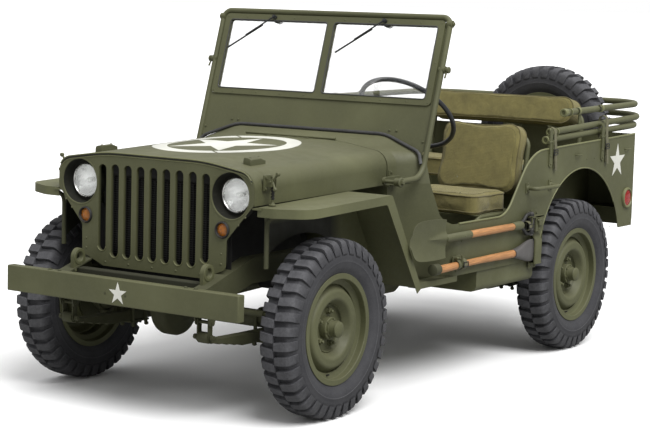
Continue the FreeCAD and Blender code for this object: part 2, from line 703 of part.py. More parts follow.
hood_sections = [  # x, half low, z low, half high, corner z, corner r, crown y, crown z, crown r
    (seam_x + hood_gap, hood_half, 866.0, hood_half, 998.0, 70.0, 250.0, 1036.0, 900.0),
    (grille_x - sheet - 2, 490.0, 845.0, 490.0, 968.0, 70.0, 250.0, 1005.0, 900.0),
]
cowl_sections = [
    (dash_x, 619.0, cowl_base_z, 590.0, 988.0, 60.0, 400.0, 1058.0, 200.0),
    (seam_x - 104.0, 562.0, cowl_base_z, 546.0, 992.0, 62.0, 350.0, 1050.0, 300.0),
    (seam_x - 54.0, 512.0, cowl_base_z, 508.0, 996.0, 66.0, 300.0, 1043.0, 500.0),
    (seam_x - hood_gap, hood_half + 2, cowl_base_z, hood_half, 998.0, 70.0, 250.0, 1036.0, 900.0),
]


def hinge_parts():
    """Barrel and pin of the hood hinge: those on the cowl, and those on the hood."""
    def knuckle_at(y0, y1, side):
        barrel = rod((seam_x, y0, hinge_z), (seam_x, y1, hinge_z), hinge_r)
        tab = box(seam_x, seam_x + 30, y0, y1, 1034.0, 1037.0)
        if side < 0:
            tab = box(seam_x - 30, seam_x, y0, y1, 1034.0, 1037.0)
        return fuse(barrel, tab)
    pin = rod((seam_x, -235, hinge_z), (seam_x, 235, hinge_z), 2.5)
    still = [knuckle_at(-235, -120, -1), knuckle_at(120, 235, -1), pin]
    moving = knuckle_at(-118, 118, 1)
    moving = moving.cut(rod((seam_x, -240, hinge_z), (seam_x, 240, hinge_z), 2.5 + running))
    return still, moving


def make_hood():
    """Hood shell with its hinge barrel and two wooden rests for the lowered windshield."""
    shell = arched_shell(hood_sections, sheet)
    still, moving = hinge_parts()
    z = 1002.0
    rest = rounded_box(block_x - 16, block_x + 16, block_y - 42, block_y + 42, z - 20, z + 31, 4, "x")
    blocks = []
    for piece in both(rest):
        inner = [outline(section(*row[1:], 0), "x", row[0]) for row in hood_sections]
        blocks.append(piece.cut(Part.makeLoft(inner, True, True)))
    write_node("hood", fuse(shell, moving))
    write_node("windshield_rests", *blocks)


grille_half = [  # y, z, fillet, down the left side
    (250.0, 1005.0, 900.0), (490.0, 968.0, 70.0), (491.0, 850.0, 20.0), (364.0, 705.0, 30.0),
    (362.0, 590.0, 20.0), (250.0, 545.0, 20.0),
]


def grille_outline(inset):
    """The grille's outline, moved inward by an inset."""
    cz = 780.0
    half = []
    for y, z, r in grille_half:
        dz = -inset if z > cz else inset
        half.append((y - inset, z + (dz if abs(z - 850) > 1 and abs(z - 705) > 1 else 0), r))
    return half + [(-y, z, r) for y, z, r in reversed(half)]


def slot(y, low, high, grow, x0, x1):
    """One round-ended slot, grown all round, between two values of x."""
    w = slot_w / 2 + grow
    return prism([(y - w, low - grow, w - 0.01), (y + w, low - grow, w - 0.01),
                  (y + w, high + grow, w - 0.01), (y - w, high + grow, w - 0.01)], "x", x0, x1)


def make_grille():
    """Pressed grille: turned-back rim, nine flanged slots, lamp and marker openings."""
    face, back = grille_x, grille_x - sheet
    deep = 24.0
    plate = prism(grille_outline(0), "x", back, face)
    rim_out = prism(grille_outline(9), "x", face - deep, back)
    rim_in = prism(grille_outline(9 + sheet), "x", face - deep - 1, back + 1)
    body = fuse(plate, rim_out.cut(rim_in))
    slots = [(i * slot_pitch, slot_low, slot_top) for i in range(-3, 4)]
    slots += [(s * 4 * slot_pitch, 606.0, 954.0) for s in (-1, 1)]
    flange, holes = [], []
    for y, low, high in slots:
        flange.append(slot(y, low, high, 2.5, face - 16, back))
        holes.append(slot(y, low, high, 0, face - 20, face + 5))
    for side in (1, -1):
        y = side * lamp_y
        flange.append(Part.makeCylinder(lamp_hole_r + 3, 40, V(face - 42, y, lamp_z), V(1, 0, 0)))
        holes.append(Part.makeCylinder(lamp_hole_r, 60, V(face - 50, y, lamp_z), V(1, 0, 0)))
        y = side * marker_y
        holes.append(Part.makeCylinder(marker_r, 20, V(face - 10, y, marker_z), V(1, 0, 0)))
    body = fuse(body, *flange)
    write_node("grille", cut(body, *holes))


def make_lamps():
    """Headlamps in the grille's wells, markers below them, and the rear lamps."""
    lamps, markers, rear = [], [], []
    for side in (1, -1):
        y = side * lamp_y
        lamps.append(turned([(-60, 0, 0), (-60, 30, 6), (-10, lamp_r + 6, 8), (-10, lamp_hole_r - gap, 0),
                             (0, lamp_hole_r - gap, 0), (4, lamp_r + 4, 3), (12, 40, 30), (13, 0, 0)],
                            (grille_x - 34, y, lamp_z), (1, 0, 0)))
        y = side * marker_y
        markers.append(turned([(-30, 0, 0), (-30, 20, 6), (gap, 24, 0), (gap, marker_r - gap, 0),
                               (5, marker_r - gap, 3), (14, 12, 10), (15, 0, 0)],
                              (grille_x - sheet, y, marker_z), (1, 0, 0)))
        rear.append(turned([(0, 0, 0), (0, 36, 3), (30, 36, 5), (36, 20, 10), (37, 0, 0)],
                           (body_rear, side * 585, 640), (-1, 0, 0)))
        rear.append(turned([(0, 0, 0), (0, 48, 2), (8, 48, 3), (12, 36, 2), (14, 14, 8), (14, 0, 0)],
                           (-491, side * body_half, 688), (0, side, 0)))
    write_node("headlamps", *lamps)
    write_node("marker_lamps", *markers)
    write_node("rear_lamps", *rear)


def side_plan(out):
    """Plan of the body side from the hood's seam to the rear panel, as a closed band."""
    y = body_half - out
    front = hood_half + 2 - out
    turn = math.atan2(body_half - hood_half - 2, flare_front - flare_rear)
    room = (seam_x - hood_gap - flare_front) / math.tan(turn / 2)
    r = min(flare_r, room - sheet)
    return [(seam_x - hood_gap, front, 0), (flare_front, front, r + out), (flare_rear, y, r - out),
            (body_rear + sheet, y, 0)]


side_view = [  # x, z, fillet of the side panel's edge, from the front
    (seam_x - hood_gap, side_low, 0.0), (seam_x - hood_gap, cowl_base_z, 0.0),
    (dash_x, cowl_base_z, 0.0), (flare_rear + 30, sill_z, 60.0), (deck_front + 355, sill_z, 150.0),
    (deck_front + 132, rim_front_z, 260.0), (body_rear + sheet, rim_rear_z, 0.0),
    (body_rear + sheet, rear_low, 0.0), (-300.0, rear_low, 0.0), (-300.0, side_low, 0.0),
]


def make_body():
    """Body sides with door and wheel cut-outs, rear panel, wheel houses and floor."""
    outer = side_plan(0)
    inner = side_plan(sheet)
    band = outline_band(outer, inner, side_low, rim_rear_z)
    side = band.common(prism(side_view, "y", 0, body_half + 1))
    arch = Part.makeCylinder(arch_r, body_half, V(0, 200, arch_z), V(0, 1, 0))
    side = side.cut(arch)
    lean = (fender_rear_x - skirt_low_x) / (fender_rear_z - skirt_low_z)
    step_x = skirt_low_x - 303
    step = prism([(step_x, side_low - 24, 4), (skirt_low_x + lean * (side_low - 24 - skirt_low_z) - gap - 0.2,
                                             side_low - 24, 0),
                  (skirt_low_x + lean * (side_low - skirt_low_z) - gap - 0.2, side_low, 0), (step_x, side_low, 4)],
                 "y", body_half - 60, body_half)
    write_node("body_sides", *both(fuse(side, step)))

    rear = prism([(-body_half, rear_low, 30), (body_half, rear_low, 30), (body_half, rim_rear_z, 0),
                  (-body_half, rim_rear_z, 0)], "x", body_rear, body_rear + sheet)
    reach = body_rear - spare_x
    carrier = turned([(0, 0, 0), (0, 100, 4), (30, 62, 10), (reach - 6, 62, 0), (reach - 6, 30, 0),
                      (reach, 30, 0), (reach, 44, 0), (reach + 14, 44, 4), (reach + 14, 0, 0)],
                     (body_rear, spare_y, spare_z), (-1, 0, 0))
    write_node("rear_panel", fuse(rear, carrier))

    houses = []
    t = sheet
    top = box(body_rear + t, house_front, house_y, body_half - t, house_top - t, house_top)
    wall = box(body_rear + t, house_front, house_y, house_y + t, deck_z + t, house_top - t)
    nose = box(house_front - t, house_front, house_y + t, body_half - t, deck_z + t, house_top - t)
    houses = both(fuse(top, wall, nose))
    write_node("wheel_houses", *houses)
    make_floor()


def outline_band(outer, inner, low, high):
    """A wall between an outer and an inner open line of rounded corners."""
    ring = outer + inner[::-1]
    return prism(ring, "z", low, high)


def make_floor():
    """Front floor, riser and load floor with the toe board up to the firewall."""
    t = sheet
    inside = body_half - t
    toe_x = flare_rear - 60
    front = box(deck_front, toe_x, -inside, inside, floor_z, floor_z + t)
    riser = box(deck_front, deck_front + t, -inside, inside, floor_z + t, deck_z)
    deck = box(body_rear + t, deck_front + t, -house_y, house_y, deck_z, deck_z + t)
    shelf = box(body_rear + t, deck_front + t, -inside, inside, deck_z, deck_z + t)
    wheel_gap = [Part.makeBox(2 * arch_r, 400, 300, V(-arch_r, side, 500)) for side in (house_y, -house_y - 400)]
    level = box(toe_x - 1, toe_low_x, -hood_half + t, hood_half - t, floor_z, floor_z + t)
    wings = prism([(toe_x - 1, inside, 0), (flare_rear, body_half - 30, 0), (flare_front, hood_half - t, 0),
                   (flare_front, hood_half - t - 9, 0), (toe_x - 1, hood_half - t - 9, 0)],
                  "z", floor_z, floor_z + t)
    end = seam_x - hood_gap - sheet
    toe = prism([(toe_low_x, floor_z, 0), (end, toe_high, 0), (end, toe_high + 4, 0),
                 (toe_low_x, floor_z + t + 1, 0)], "y", -hood_half + t, hood_half - t)
    wings = wings.cut(prism(side_plan(sheet + gap) + side_plan(-90)[::-1], "z", floor_z - 1, floor_z + t + 1))
    write_node("floor", fuse(front, riser, shelf.cut(Part.makeCompound(wheel_gap)), deck, level,
                             toe, *both(wings)))


def make_cowl():
    """Cowl top with its dash and firewall, the hood hinge's fixed half and windshield pivots."""
    shell = arched_shell(cowl_sections, sheet)
    inside = Part.makeLoft([outline(section(*row[1:], sheet / 2), "x", row[0]) for row in cowl_sections],
                           True, True)
    dash = box(dash_x, dash_x + sheet, -700, 700, cowl_base_z, 1100).common(inside)
    t = sheet
    wall_x = seam_x - hood_gap
    fire = box(wall_x - t, wall_x, -hood_half + 1, hood_half - 1, floor_z, cowl_base_z)
    fire_top = box(wall_x - t, wall_x, -700, 700, cowl_base_z, 1100).common(inside)
    hole = Part.makeCylinder(column_r + 4, 450, along_column(-750), column_direction())
    still, moving = hinge_parts()
    y = ws_tube_y - ws_tube_r - clearance - 12
    arm = prism([(seam_x - 40, pivot_z - 20, 0), (seam_x - 8, pivot_z - 20, 8), (pivot_x, pivot_z - 16, 15),
                 (pivot_x + 16, pivot_z, 15), (pivot_x, pivot_z + 16, 15), (seam_x - 8, pivot_z + 16, 8),
                 (seam_x - 40, pivot_z + 16, 0)], "y", y - 44, y - 32)
    foot = box(seam_x - 40, seam_x - 10, hood_half - 1, y - 32, pivot_z - 18, pivot_z + 14)
    pin = rod((pivot_x, y - 44, pivot_z), (pivot_x, ws_tube_y + 16, pivot_z), pivot_pin_r)
    bracket = fuse(arm, foot, pin).cut(inside)
    write_node("cowl", cut(fuse(shell, dash, fire_top, fire, *still, bracket, mirrored(bracket)), hole))


def make_fenders():
    """Front fenders: flat top with a turned-down lip and a sloping rear skirt."""
    slope = (fender_rear_z - fender_front_z) / (fender_front_x - fender_rear_x)
    inner = hood_half + 4
    plan = [(skirt_low_x - 200, inner, 0), (fender_front_x, inner, 0), (fender_front_x, 575, 60),
            (fender_front_x - 60, fender_half, 90), (skirt_low_x - 200, fender_half, 0)]
    plan_in = [(skirt_low_x - 250, inner - 1, 0), (fender_front_x - sheet, inner - 1, 0),
               (fender_front_x - sheet, 575 - 1, 58), (fender_front_x - 60 - sheet, fender_half - sheet, 88),
               (skirt_low_x - 250, fender_half - sheet, 0)]

    run = V(fender_rear_x - skirt_low_x, 0, fender_rear_z - skirt_low_z)
    run.normalize()

    def surface(depth):
        """Side line of the fender's top and skirt, moved inward by a depth."""
        return [(fender_front_x + 100, fender_front_z - slope * 100 - depth, 0),
                (fender_rear_x + depth, fender_rear_z - depth, 18),
                (skirt_low_x + run.z * depth, skirt_low_z - run.x * depth, 0)]
    full = prism(plan, "z", 300, 1000)
    inside = prism(plan_in, "z", 250, 1050)
    skin = full.common(prism(surface(0) + surface(sheet)[::-1], "y", 0, 900))
    lip = full.cut(inside).common(prism(surface(0) + surface(fender_lip)[::-1], "y", 0, 900))
    low = apron_low
    apron = prism(surface(1) + [(skirt_low_x + 40, low, 0), (fender_front_x + 100, low, 0)], "y", inner,
                  inner + sheet)
    apron = apron.common(box(1000, apron_front, 0, 900, low, 1000))
    edge = box(apron_front - 14, apron_front, inner, inner + 14, low, fender_front_z - 4)
    apron = fuse(apron, edge)
    for turn in (-steer_lock, 0, steer_lock):
        t = math.radians(turn)
        out = V(math.sin(t), math.cos(t), 0)
        apron = apron.cut(Part.makeCylinder(apron_r, 900, V(wheelbase, kingpin_y, axle_z) - out * 450, out))
    tab = box(grille_x - 30, grille_x - sheet - gap, grille_half[1][0] - 9 + gap, inner + 20,
              fender_front_z - 10, fender_front_z - 3)
    fender = fuse(skin, lip, apron, tab)
    write_node("front_fenders", *both(fender))


# ---------------------------------------------------------------- windshield
def on_windshield(shape):
    """Take a shape from windshield axes (forward, left, up the slope) to the car's."""
    shape = shape.copy()
    shape.Placement = FreeCAD.Placement(V(ws_base_x, 0, ws_base_z),
                                        FreeCAD.Rotation(V(0, 1, 0), -ws_rake)).multiply(shape.Placement)
    return shape


def ws_point(up):
    """(x, z) on the windshield's middle plane, a distance up the slope."""
    t = math.radians(ws_rake)
    return ws_base_x - up * math.sin(t), ws_base_z + up * math.cos(t)


def make_windshield():
    """Tube frame with its arms, glazing frame, lower panel, panes and wipers."""
    top_x, top_z = ws_point(ws_top)
    drop = (ws_base_z - 897.0) / math.cos(math.radians(ws_rake))
    bend_x, bend_z = ws_point(-drop)
    y = ws_tube_y
    path = [(pivot_x - 12, y, pivot_z), (bend_x, y, bend_z), (top_x, y, top_z), (top_x, -y, top_z),
            (bend_x, -y, bend_z), (pivot_x - 12, -y, pivot_z)]
    tube = bent_tube(path, [90, 40, 40, 90], ws_tube_r)
    eyes = []
    for side in (1, -1):
        eye = rod((pivot_x, side * y - 12, pivot_z), (pivot_x, side * y + 12, pivot_z), 17)
        eyes.append(eye)
    frame = rounded_box(-8, 8, -ws_frame_half, ws_frame_half, ws_frame_low, ws_frame_high, 20, "x")
    panes, openings = [], []
    for side in (1, -1):
        a, b = sorted((side * pane_in, side * pane_out))
        openings.append(rounded_box(-20, 20, a, b, pane_low, pane_high, 12, "x"))
        panes.append(rounded_box(-2.5, 2.5, a, b, pane_low, pane_high, 12, "x"))
    frame = cut(frame, *openings)
    low = 6.0
    panel = prism([(-588, ws_frame_low + 4, 0), (-588, -58, 0), (-545, -28, 20), (-400, low, 60),
                   (400, low, 60), (545, -28, 20), (588, -58, 0), (588, ws_frame_low + 4, 0)], "x", -1.5, 1.5)
    cheeks = [box(-1.5, 1.5, side * 584 - 5, side * 584 + 5, -50, ws_top) for side in (1, -1)]
    rail = box(-1.5, 1.5, -590, 590, ws_frame_high - 4, ws_top)
    local = on_windshield(fuse(frame, panel, rail, *cheeks))
    pin_holes = [rod((pivot_x, side * (y - 20), pivot_z), (pivot_x, side * (y + 20), pivot_z),
                     pivot_pin_r + running) for side in (1, -1)]
    write_node("windshield_frame", cut(fuse(local, tube, *eyes), *pin_holes))
    write_node("windshield_glass", *[on_windshield(p) for p in panes])

    wipers = []
    for y0, tip in ((-305.0, -534.0), (280.0, 54.0)):
        pivot = Part.makeCylinder(9, 16, V(8 + gap, y0, 500), V(1, 0, 0))
        step = (tip - y0) / 150.0
        middle = y0 + step * 88
        arm = rod((22, y0, 500), (20, middle, 412), 3.5)
        blade = rod((13, y0 + step * 38, 462), (13, tip, 350), 4)
        link = rod((22, middle, 412), (11, middle, 412), 3.5)
        wipers.append(on_windshield(fuse(pivot, arm, blade, link)))
    write_node("wipers", *wipers)


# ---------------------------------------------------------------- seats
def seat_frame(a, b, front, rear, top_z, floor_front, floor_rear, lean, back_z):
    """Bent tube frame, legs and pan of a seat between y = a and y = b."""
    r = seat_tube_r
    z = top_z - sheet - r + pan_sink
    back_x = rear - (back_z - z) * math.tan(math.radians(lean))
    path = [(front, a, floor_front), (front, a, z), (rear, a, z), (back_x, a, back_z), (back_x, b, back_z),
            (rear, b, z), (front, b, z), (front, b, floor_front)]
    tube = bent_tube(path, 50, r)
    legs = [rod((rear + 60, y, floor_rear), (rear + 60, y, z), r - 2) for y in (a, b)]
    rails = [box(rear + 60, front - 50, y - 5, y + 5, z, top_z - sheet) for y in (a, b)]
    pan = box(rear + 55, front - 5, min(a, b) - 4, max(a, b) + 4, top_z - sheet, top_z)
    return fuse(tube, *legs, *rails, pan)


def leaning_cushion(a, b, rear, foot_z, lean, z0, z1, thick, r):
    """A back cushion in front of the tubes that rise from (rear, foot_z), leaning back."""
    t = math.radians(lean)
    n = seat_tube_r + gap
    low, high = (z0 - foot_z) / math.cos(t), (z1 - foot_z) / math.cos(t)
    cushion = rounded_box(n, n + thick, a, b, low, high, r, "x")
    cushion.Placement = FreeCAD.Placement(V(rear, 0, foot_z), FreeCAD.Rotation(V(0, 1, 0), -lean))
    return cushion


def make_seats():
    """Seat frames, front cushions and rear cushions."""
    floor = floor_z + sheet
    deck = deck_z + sheet
    a, b = seat_y - seat_half + 20, seat_y + seat_half - 20
    write_node("front_seat_frames", *both(seat_frame(a, b, seat_front - 25, seat_rear, seat_z, floor, floor,
                                                     seat_lean, back_top - 60)))
    half = rear_seat_half
    write_node("rear_seat_frame", seat_frame(-half + 5, half - 5, rear_seat_front - 30, rear_seat_rear,
                                             rear_seat_z, deck, deck, rear_seat_lean, rear_back_top - 70))

    a, b = seat_y - seat_half, seat_y + seat_half
    z0 = seat_z + gap
    foot_z = seat_z - sheet - seat_tube_r + pan_sink
    base = rounded_box(seat_rear + 92, seat_front, a, b, z0, z0 + cushion_h, 40, "y")
    back = leaning_cushion(a, b, seat_rear, foot_z, seat_lean, z0 + 40, back_top, back_thick, back_corner)
    base = base.cut(leaning_cushion(a - 9, b + 9, seat_rear, foot_z, seat_lean, z0 - 60, back_top,
                                    back_thick + 2, 2))
    write_node("front_seat_cushions", *both(base), *both(back))
    z0 = rear_seat_z + gap
    foot_z = rear_seat_z - sheet - seat_tube_r + pan_sink
    base = rounded_box(rear_seat_rear + 80, rear_seat_front, -half, half, z0, z0 + cushion_h, 40, "y")
    back = leaning_cushion(-half, half, rear_seat_rear, foot_z, rear_seat_lean, rear_back_low, rear_back_top,
                           roll_thick, roll_corner)
    write_node("rear_seat_cushions", base, back)


# ---------------------------------------------------------------- fittings
bows = [  # front end x, its z, rear run's x, its z, one bow above the other
    (187.0, 1131.0, body_rear - 241, 1142.0),
    (319.0, 1046.0, body_rear - 269, 1080.0),
    (356.0, 1012.0, body_rear - 241, 1039.0),
]


def bow_at(bow, x):
    """(y, z) of a bow's left run at x."""
    x0, z0, x1, z1 = bow
    share = (x0 - x) / (x0 - x1)
    return bow_y_front + (bow_y_rear - bow_y_front) * share, z0 + (z1 - z0) * share


def make_bows():
    """Three folded top bows round the tub's rear and the spare, and the brackets that hold them."""
    pieces = []
    for x0, z0, x1, z1 in bows:
        path = [(x0, bow_y_front, z0), (x1, bow_y_rear, z1), (x1, -bow_y_rear, z1), (x0, -bow_y_front, z0)]
        pieces.append(bent_tube(path, bow_bend, bow_r))
    write_node("top_bows", *pieces)

    brackets = []
    for x in bow_brackets:
        bar = rounded_box(x - 14, x + 14, body_half, body_half + 6, bracket_low, bracket_high, 10, "y")
        parts = [bar]
        for bow in bows[1:]:
            y, z = bow_at(bow, x)
            parts.append(rod((x, y + bow_r + gap, z), (x, body_half + 3, z), 9))
        brackets += both(fuse(*parts))
    x = bow_brackets[1] + 190
    y, z = bow_at(bows[1], x)
    ya, za = bow_at(bows[0], x)
    link = box(x - 10, x + 10, y - 6, y, z + bow_r + gap, za - bow_r - gap)
    brackets += both(link)
    write_node("bow_brackets", *brackets)


def make_tools():
    """Shovel and axe on the driver's side, with the clamps that hold them."""
    y, z, half = tool_y, shovel_z, blade_half
    arc = V(0, y + blade_rim, z - half), V(0, y - blade_dish, z), V(0, y + blade_rim, z + half)
    thick = V(0, 4, 0)
    face = Part.Face(Part.Wire([
        Part.Arc(*arc).toShape(),
        Part.LineSegment(arc[2], arc[2] + thick).toShape(),
        Part.Arc(*[p + thick for p in reversed(arc)]).toShape(),
        Part.LineSegment(arc[0] + thick, arc[0]).toShape()]))
    blade = face.extrude(V(blade_front - blade_rear, 0, 0))
    blade.translate(V(blade_rear, 0, 0))
    shoulder = blade_front - 60
    plan = prism([(blade_rear, z - half, 30), (shoulder, z - half, 90), (blade_front, z, 40),
                  (shoulder, z + half, 90), (blade_rear, z + half, 30)], "y", y - 40, y + 40)
    socket = turned([(0, 0, 0), (0, 18, 0), (230, 11, 0), (290, 5, 0), (290, 0, 0)], (socket_rear, y, z),
                    (1, 0, 0))
    shaft = rod((yoke_x, y, z), (socket_rear + 5, y, z), tool_r)
    yoke = turned([(0, 0, 0), (0, 17, 0), (50, 19, 0), (50, 0, 0)], (yoke_x - 25, y, z), (1, 0, 0))
    neck = grip_x + 25
    grip = bent_tube([(yoke_x, y, z + 3), (neck, y, z + grip_half), (grip_x, y, z + grip_half),
                      (grip_x, y, z - grip_half), (neck, y, z - grip_half), (yoke_x, y, z - 3)], 12, 8)
    write_node("shovel", fuse(blade.common(plan), socket, shaft, yoke, grip))

    z = axe_z
    shaft = rod((axe_rear + 110, y, z), (axe_front - 4, y, z), tool_r)
    knob = turned([(0, 0, 0), (0, 17, 0), (16, 18.5, 3), (44, 18.5, 6), (44, 0, 0)], (axe_front - 44, y, z),
                  (1, 0, 0))
    neck, poll = axe_rear + 110, axe_rear + 200
    head = prism([(axe_rear, z - 68, 12), (neck, z - 26, 30), (poll, z - 22, 6), (poll, z + 22, 6),
                  (neck, z + 26, 30), (axe_rear, z + 42, 12)], "y", y - 15, y + 15)
    write_node("axe", fuse(shaft, knob, head))

    clamps = []
    for x, z, high in tool_clamps:
        block = rounded_box(x - 16, x + 16, body_half, y + tool_r + 5, z - high, z + high, 6, "x")
        clamps.append(block.cut(rod((x - 40, y, z), (x + 40, y, z), tool_r + gap)))
    out = y + 22
    guard = rounded_box(guard_rear, guard_front, body_half, out, guard_low, guard_high, 4, "x")
    pocket = box(guard_rear - 4, guard_front - 6, body_half + 5, out - 5, guard_low - 5, guard_high + 10)
    clamps.append(guard.cut(pocket))
    write_node("tool_brackets", *clamps)


def make_controls():
    """Gear, transfer and hand brake levers on the floor, pedals on the toe board."""
    base = floor_z + sheet
    levers = []
    rows = [  # x and y of the foot, height of the knob, its lean along x
        (930.0, 0.0, 780.0, -70.0), (900.0, -90.0, 690.0, -30.0), (900.0, -130.0, 690.0, -30.0),
    ]
    for x, y, top, lean in rows:
        foot = turned([(0, 0, 0), (0, 26, 0), (26, 14, 6), (26, 0, 0)], (x, y, base), (0, 0, 1))
        levers.append(fuse(foot, rod((x, y, base + 10), (x + lean, y, top), 6.5),
                           Part.makeSphere(19, V(x + lean, y, top))))
    slope = (toe_high - floor_z) / (seam_x - hood_gap - sheet - toe_low_x)
    x = pedal_x
    z = base + 1 + (x - toe_low_x) * slope
    for y, half in ((wheel_y + 90, 30.0), (wheel_y - 65, 30.0), (wheel_y - 130, 22.0)):
        arm = rod((x - 1.3, y, z + 1.5), (x - 34, y, z + pedal_rise), 6)
        pad = rounded_box(-5, 5, y - half, y + half, -24, 24, 6, "x")
        pad.rotate(V(0, 0, 0), V(0, 1, 0), 30)
        pad.translate(V(x - 36, 0, z + pedal_rise))
        levers.append(fuse(arm, pad))
    write_node("levers_and_pedals", *levers)


def make_rear_fittings():
    """Bumperettes and the towing hook on the rear panel."""
    pieces = []
    z = guard_bar_z
    out = body_rear - guard_bar_out
    for side in (1, -1):
        y0, y1 = side * (body_half - 380), side * (body_half - 230)
        pieces.append(bent_tube([(body_rear, y0, z), (out, y0, z), (out, y1, z), (body_rear, y1, z)], 28,
                                guard_bar_r))
    z = hook_z
    plate = rounded_box(body_rear - 10, body_rear, -55, 55, z - 26, z + 32, 8, "x")
    neck = rod((body_rear - 5, 0, z), (body_rear - 45, 0, z), 16)
    hook = Part.makeTorus(24, 9, V(body_rear - 66, 0, z), V(0, 1, 0))
    pieces.append(fuse(plate, neck, hook))
    write_node("rear_bumperettes_and_hook", *pieces)


def make_handles():
    """Grab handles on the body sides."""
    handles = []
    for side in (1, -1):
        y0, y1 = side * body_half, side * (body_half + handle_out)
        handles.append(bent_tube([(handle_rear, y0, handle_z), (handle_rear, y1, handle_z),
                                  (handle_front, y1, handle_z), (handle_front, y0, handle_z)], 22, handle_r))
    write_node("grab_handles", *handles)


def main():
    """Build every piece."""
    os.makedirs("parts", exist_ok=True)
    make_wheels()
    make_axles()
    make_steering()
    make_frame()
    make_springs()
    make_bumper()
    make_drive()
    make_hood()
    make_grille()
    make_lamps()
    make_body()
    make_cowl()
    make_fenders()
    make_windshield()
    make_seats()
    make_bows()
    make_handles()
    make_tools()
    make_controls()
    make_rear_fittings()


main()
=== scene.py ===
# Looks of an open light army 4x4 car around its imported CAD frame. Places are given in
# millimetres from the middle of the rear axle on the ground (x forward, y left, z up), and
# at() turns them into the frame's metres.

import json
from math import copysign, cos, exp, pi, radians, sin, tan

import bmesh
import bpy
import numpy as np
from mathutils import Matrix, Vector
from mathutils.bvhtree import BVHTree


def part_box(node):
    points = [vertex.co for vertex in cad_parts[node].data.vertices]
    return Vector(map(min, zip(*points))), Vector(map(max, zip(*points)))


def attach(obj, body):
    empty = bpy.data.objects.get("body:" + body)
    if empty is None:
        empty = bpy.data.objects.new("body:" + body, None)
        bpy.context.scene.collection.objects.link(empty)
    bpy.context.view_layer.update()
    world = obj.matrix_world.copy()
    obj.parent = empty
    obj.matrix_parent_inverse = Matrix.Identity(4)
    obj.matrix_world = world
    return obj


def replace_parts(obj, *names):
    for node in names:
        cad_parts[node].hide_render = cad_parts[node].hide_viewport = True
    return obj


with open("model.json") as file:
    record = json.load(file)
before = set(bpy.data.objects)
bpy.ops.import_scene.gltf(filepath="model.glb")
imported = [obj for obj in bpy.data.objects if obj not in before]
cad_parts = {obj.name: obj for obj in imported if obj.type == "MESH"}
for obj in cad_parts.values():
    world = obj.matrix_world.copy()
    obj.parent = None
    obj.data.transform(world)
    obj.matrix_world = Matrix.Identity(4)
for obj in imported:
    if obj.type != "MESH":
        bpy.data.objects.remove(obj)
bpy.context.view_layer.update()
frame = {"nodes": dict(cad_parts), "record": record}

mm = 0.001
sides = ((1, "left"), (-1, "right"))
AHEAD, LEFT, UP = (1, 0, 0), (0, 1, 0), (0, 0, 1)


def link(obj):
    """Put an object in the scene."""
    bpy.context.scene.collection.objects.link(obj)
    return obj


def turns(n, start=0.0):
    """Equal steps round a circle."""
    return [start + 2 * pi * i / n for i in range(n)]


def middle(node):
    """Middle of a CAD node's box."""
    low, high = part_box(node)
    return (low + high) / 2


rear_axle = middle("rear_left_tyre")


def at(x, y, z):
    """A point in the frame, from millimetres measured at the rear axle."""
    return Vector((rear_axle.x + x * mm, y * mm, z * mm))


# ---------------------------------------------------------------- materials
def feed(tree, socket, value):
    """Link a node's input to another's output, or set it."""
    if isinstance(value, bpy.types.NodeSocket):
        tree.links.new(value, socket)
    else:
        socket.default_value = (*value, 1) if socket.type == "RGBA" else value


def add_node(tree, kind, out, feeds=None, **settings):
    """Add a shader node with its inputs and settings, and give one of its outputs."""
    node = tree.nodes.new("ShaderNode" + kind)
    for key, value in settings.items():
        setattr(node, key, value)
    for key, value in (feeds or {}).items():
        feed(tree, node.inputs[key], value)
    return node.outputs[out]


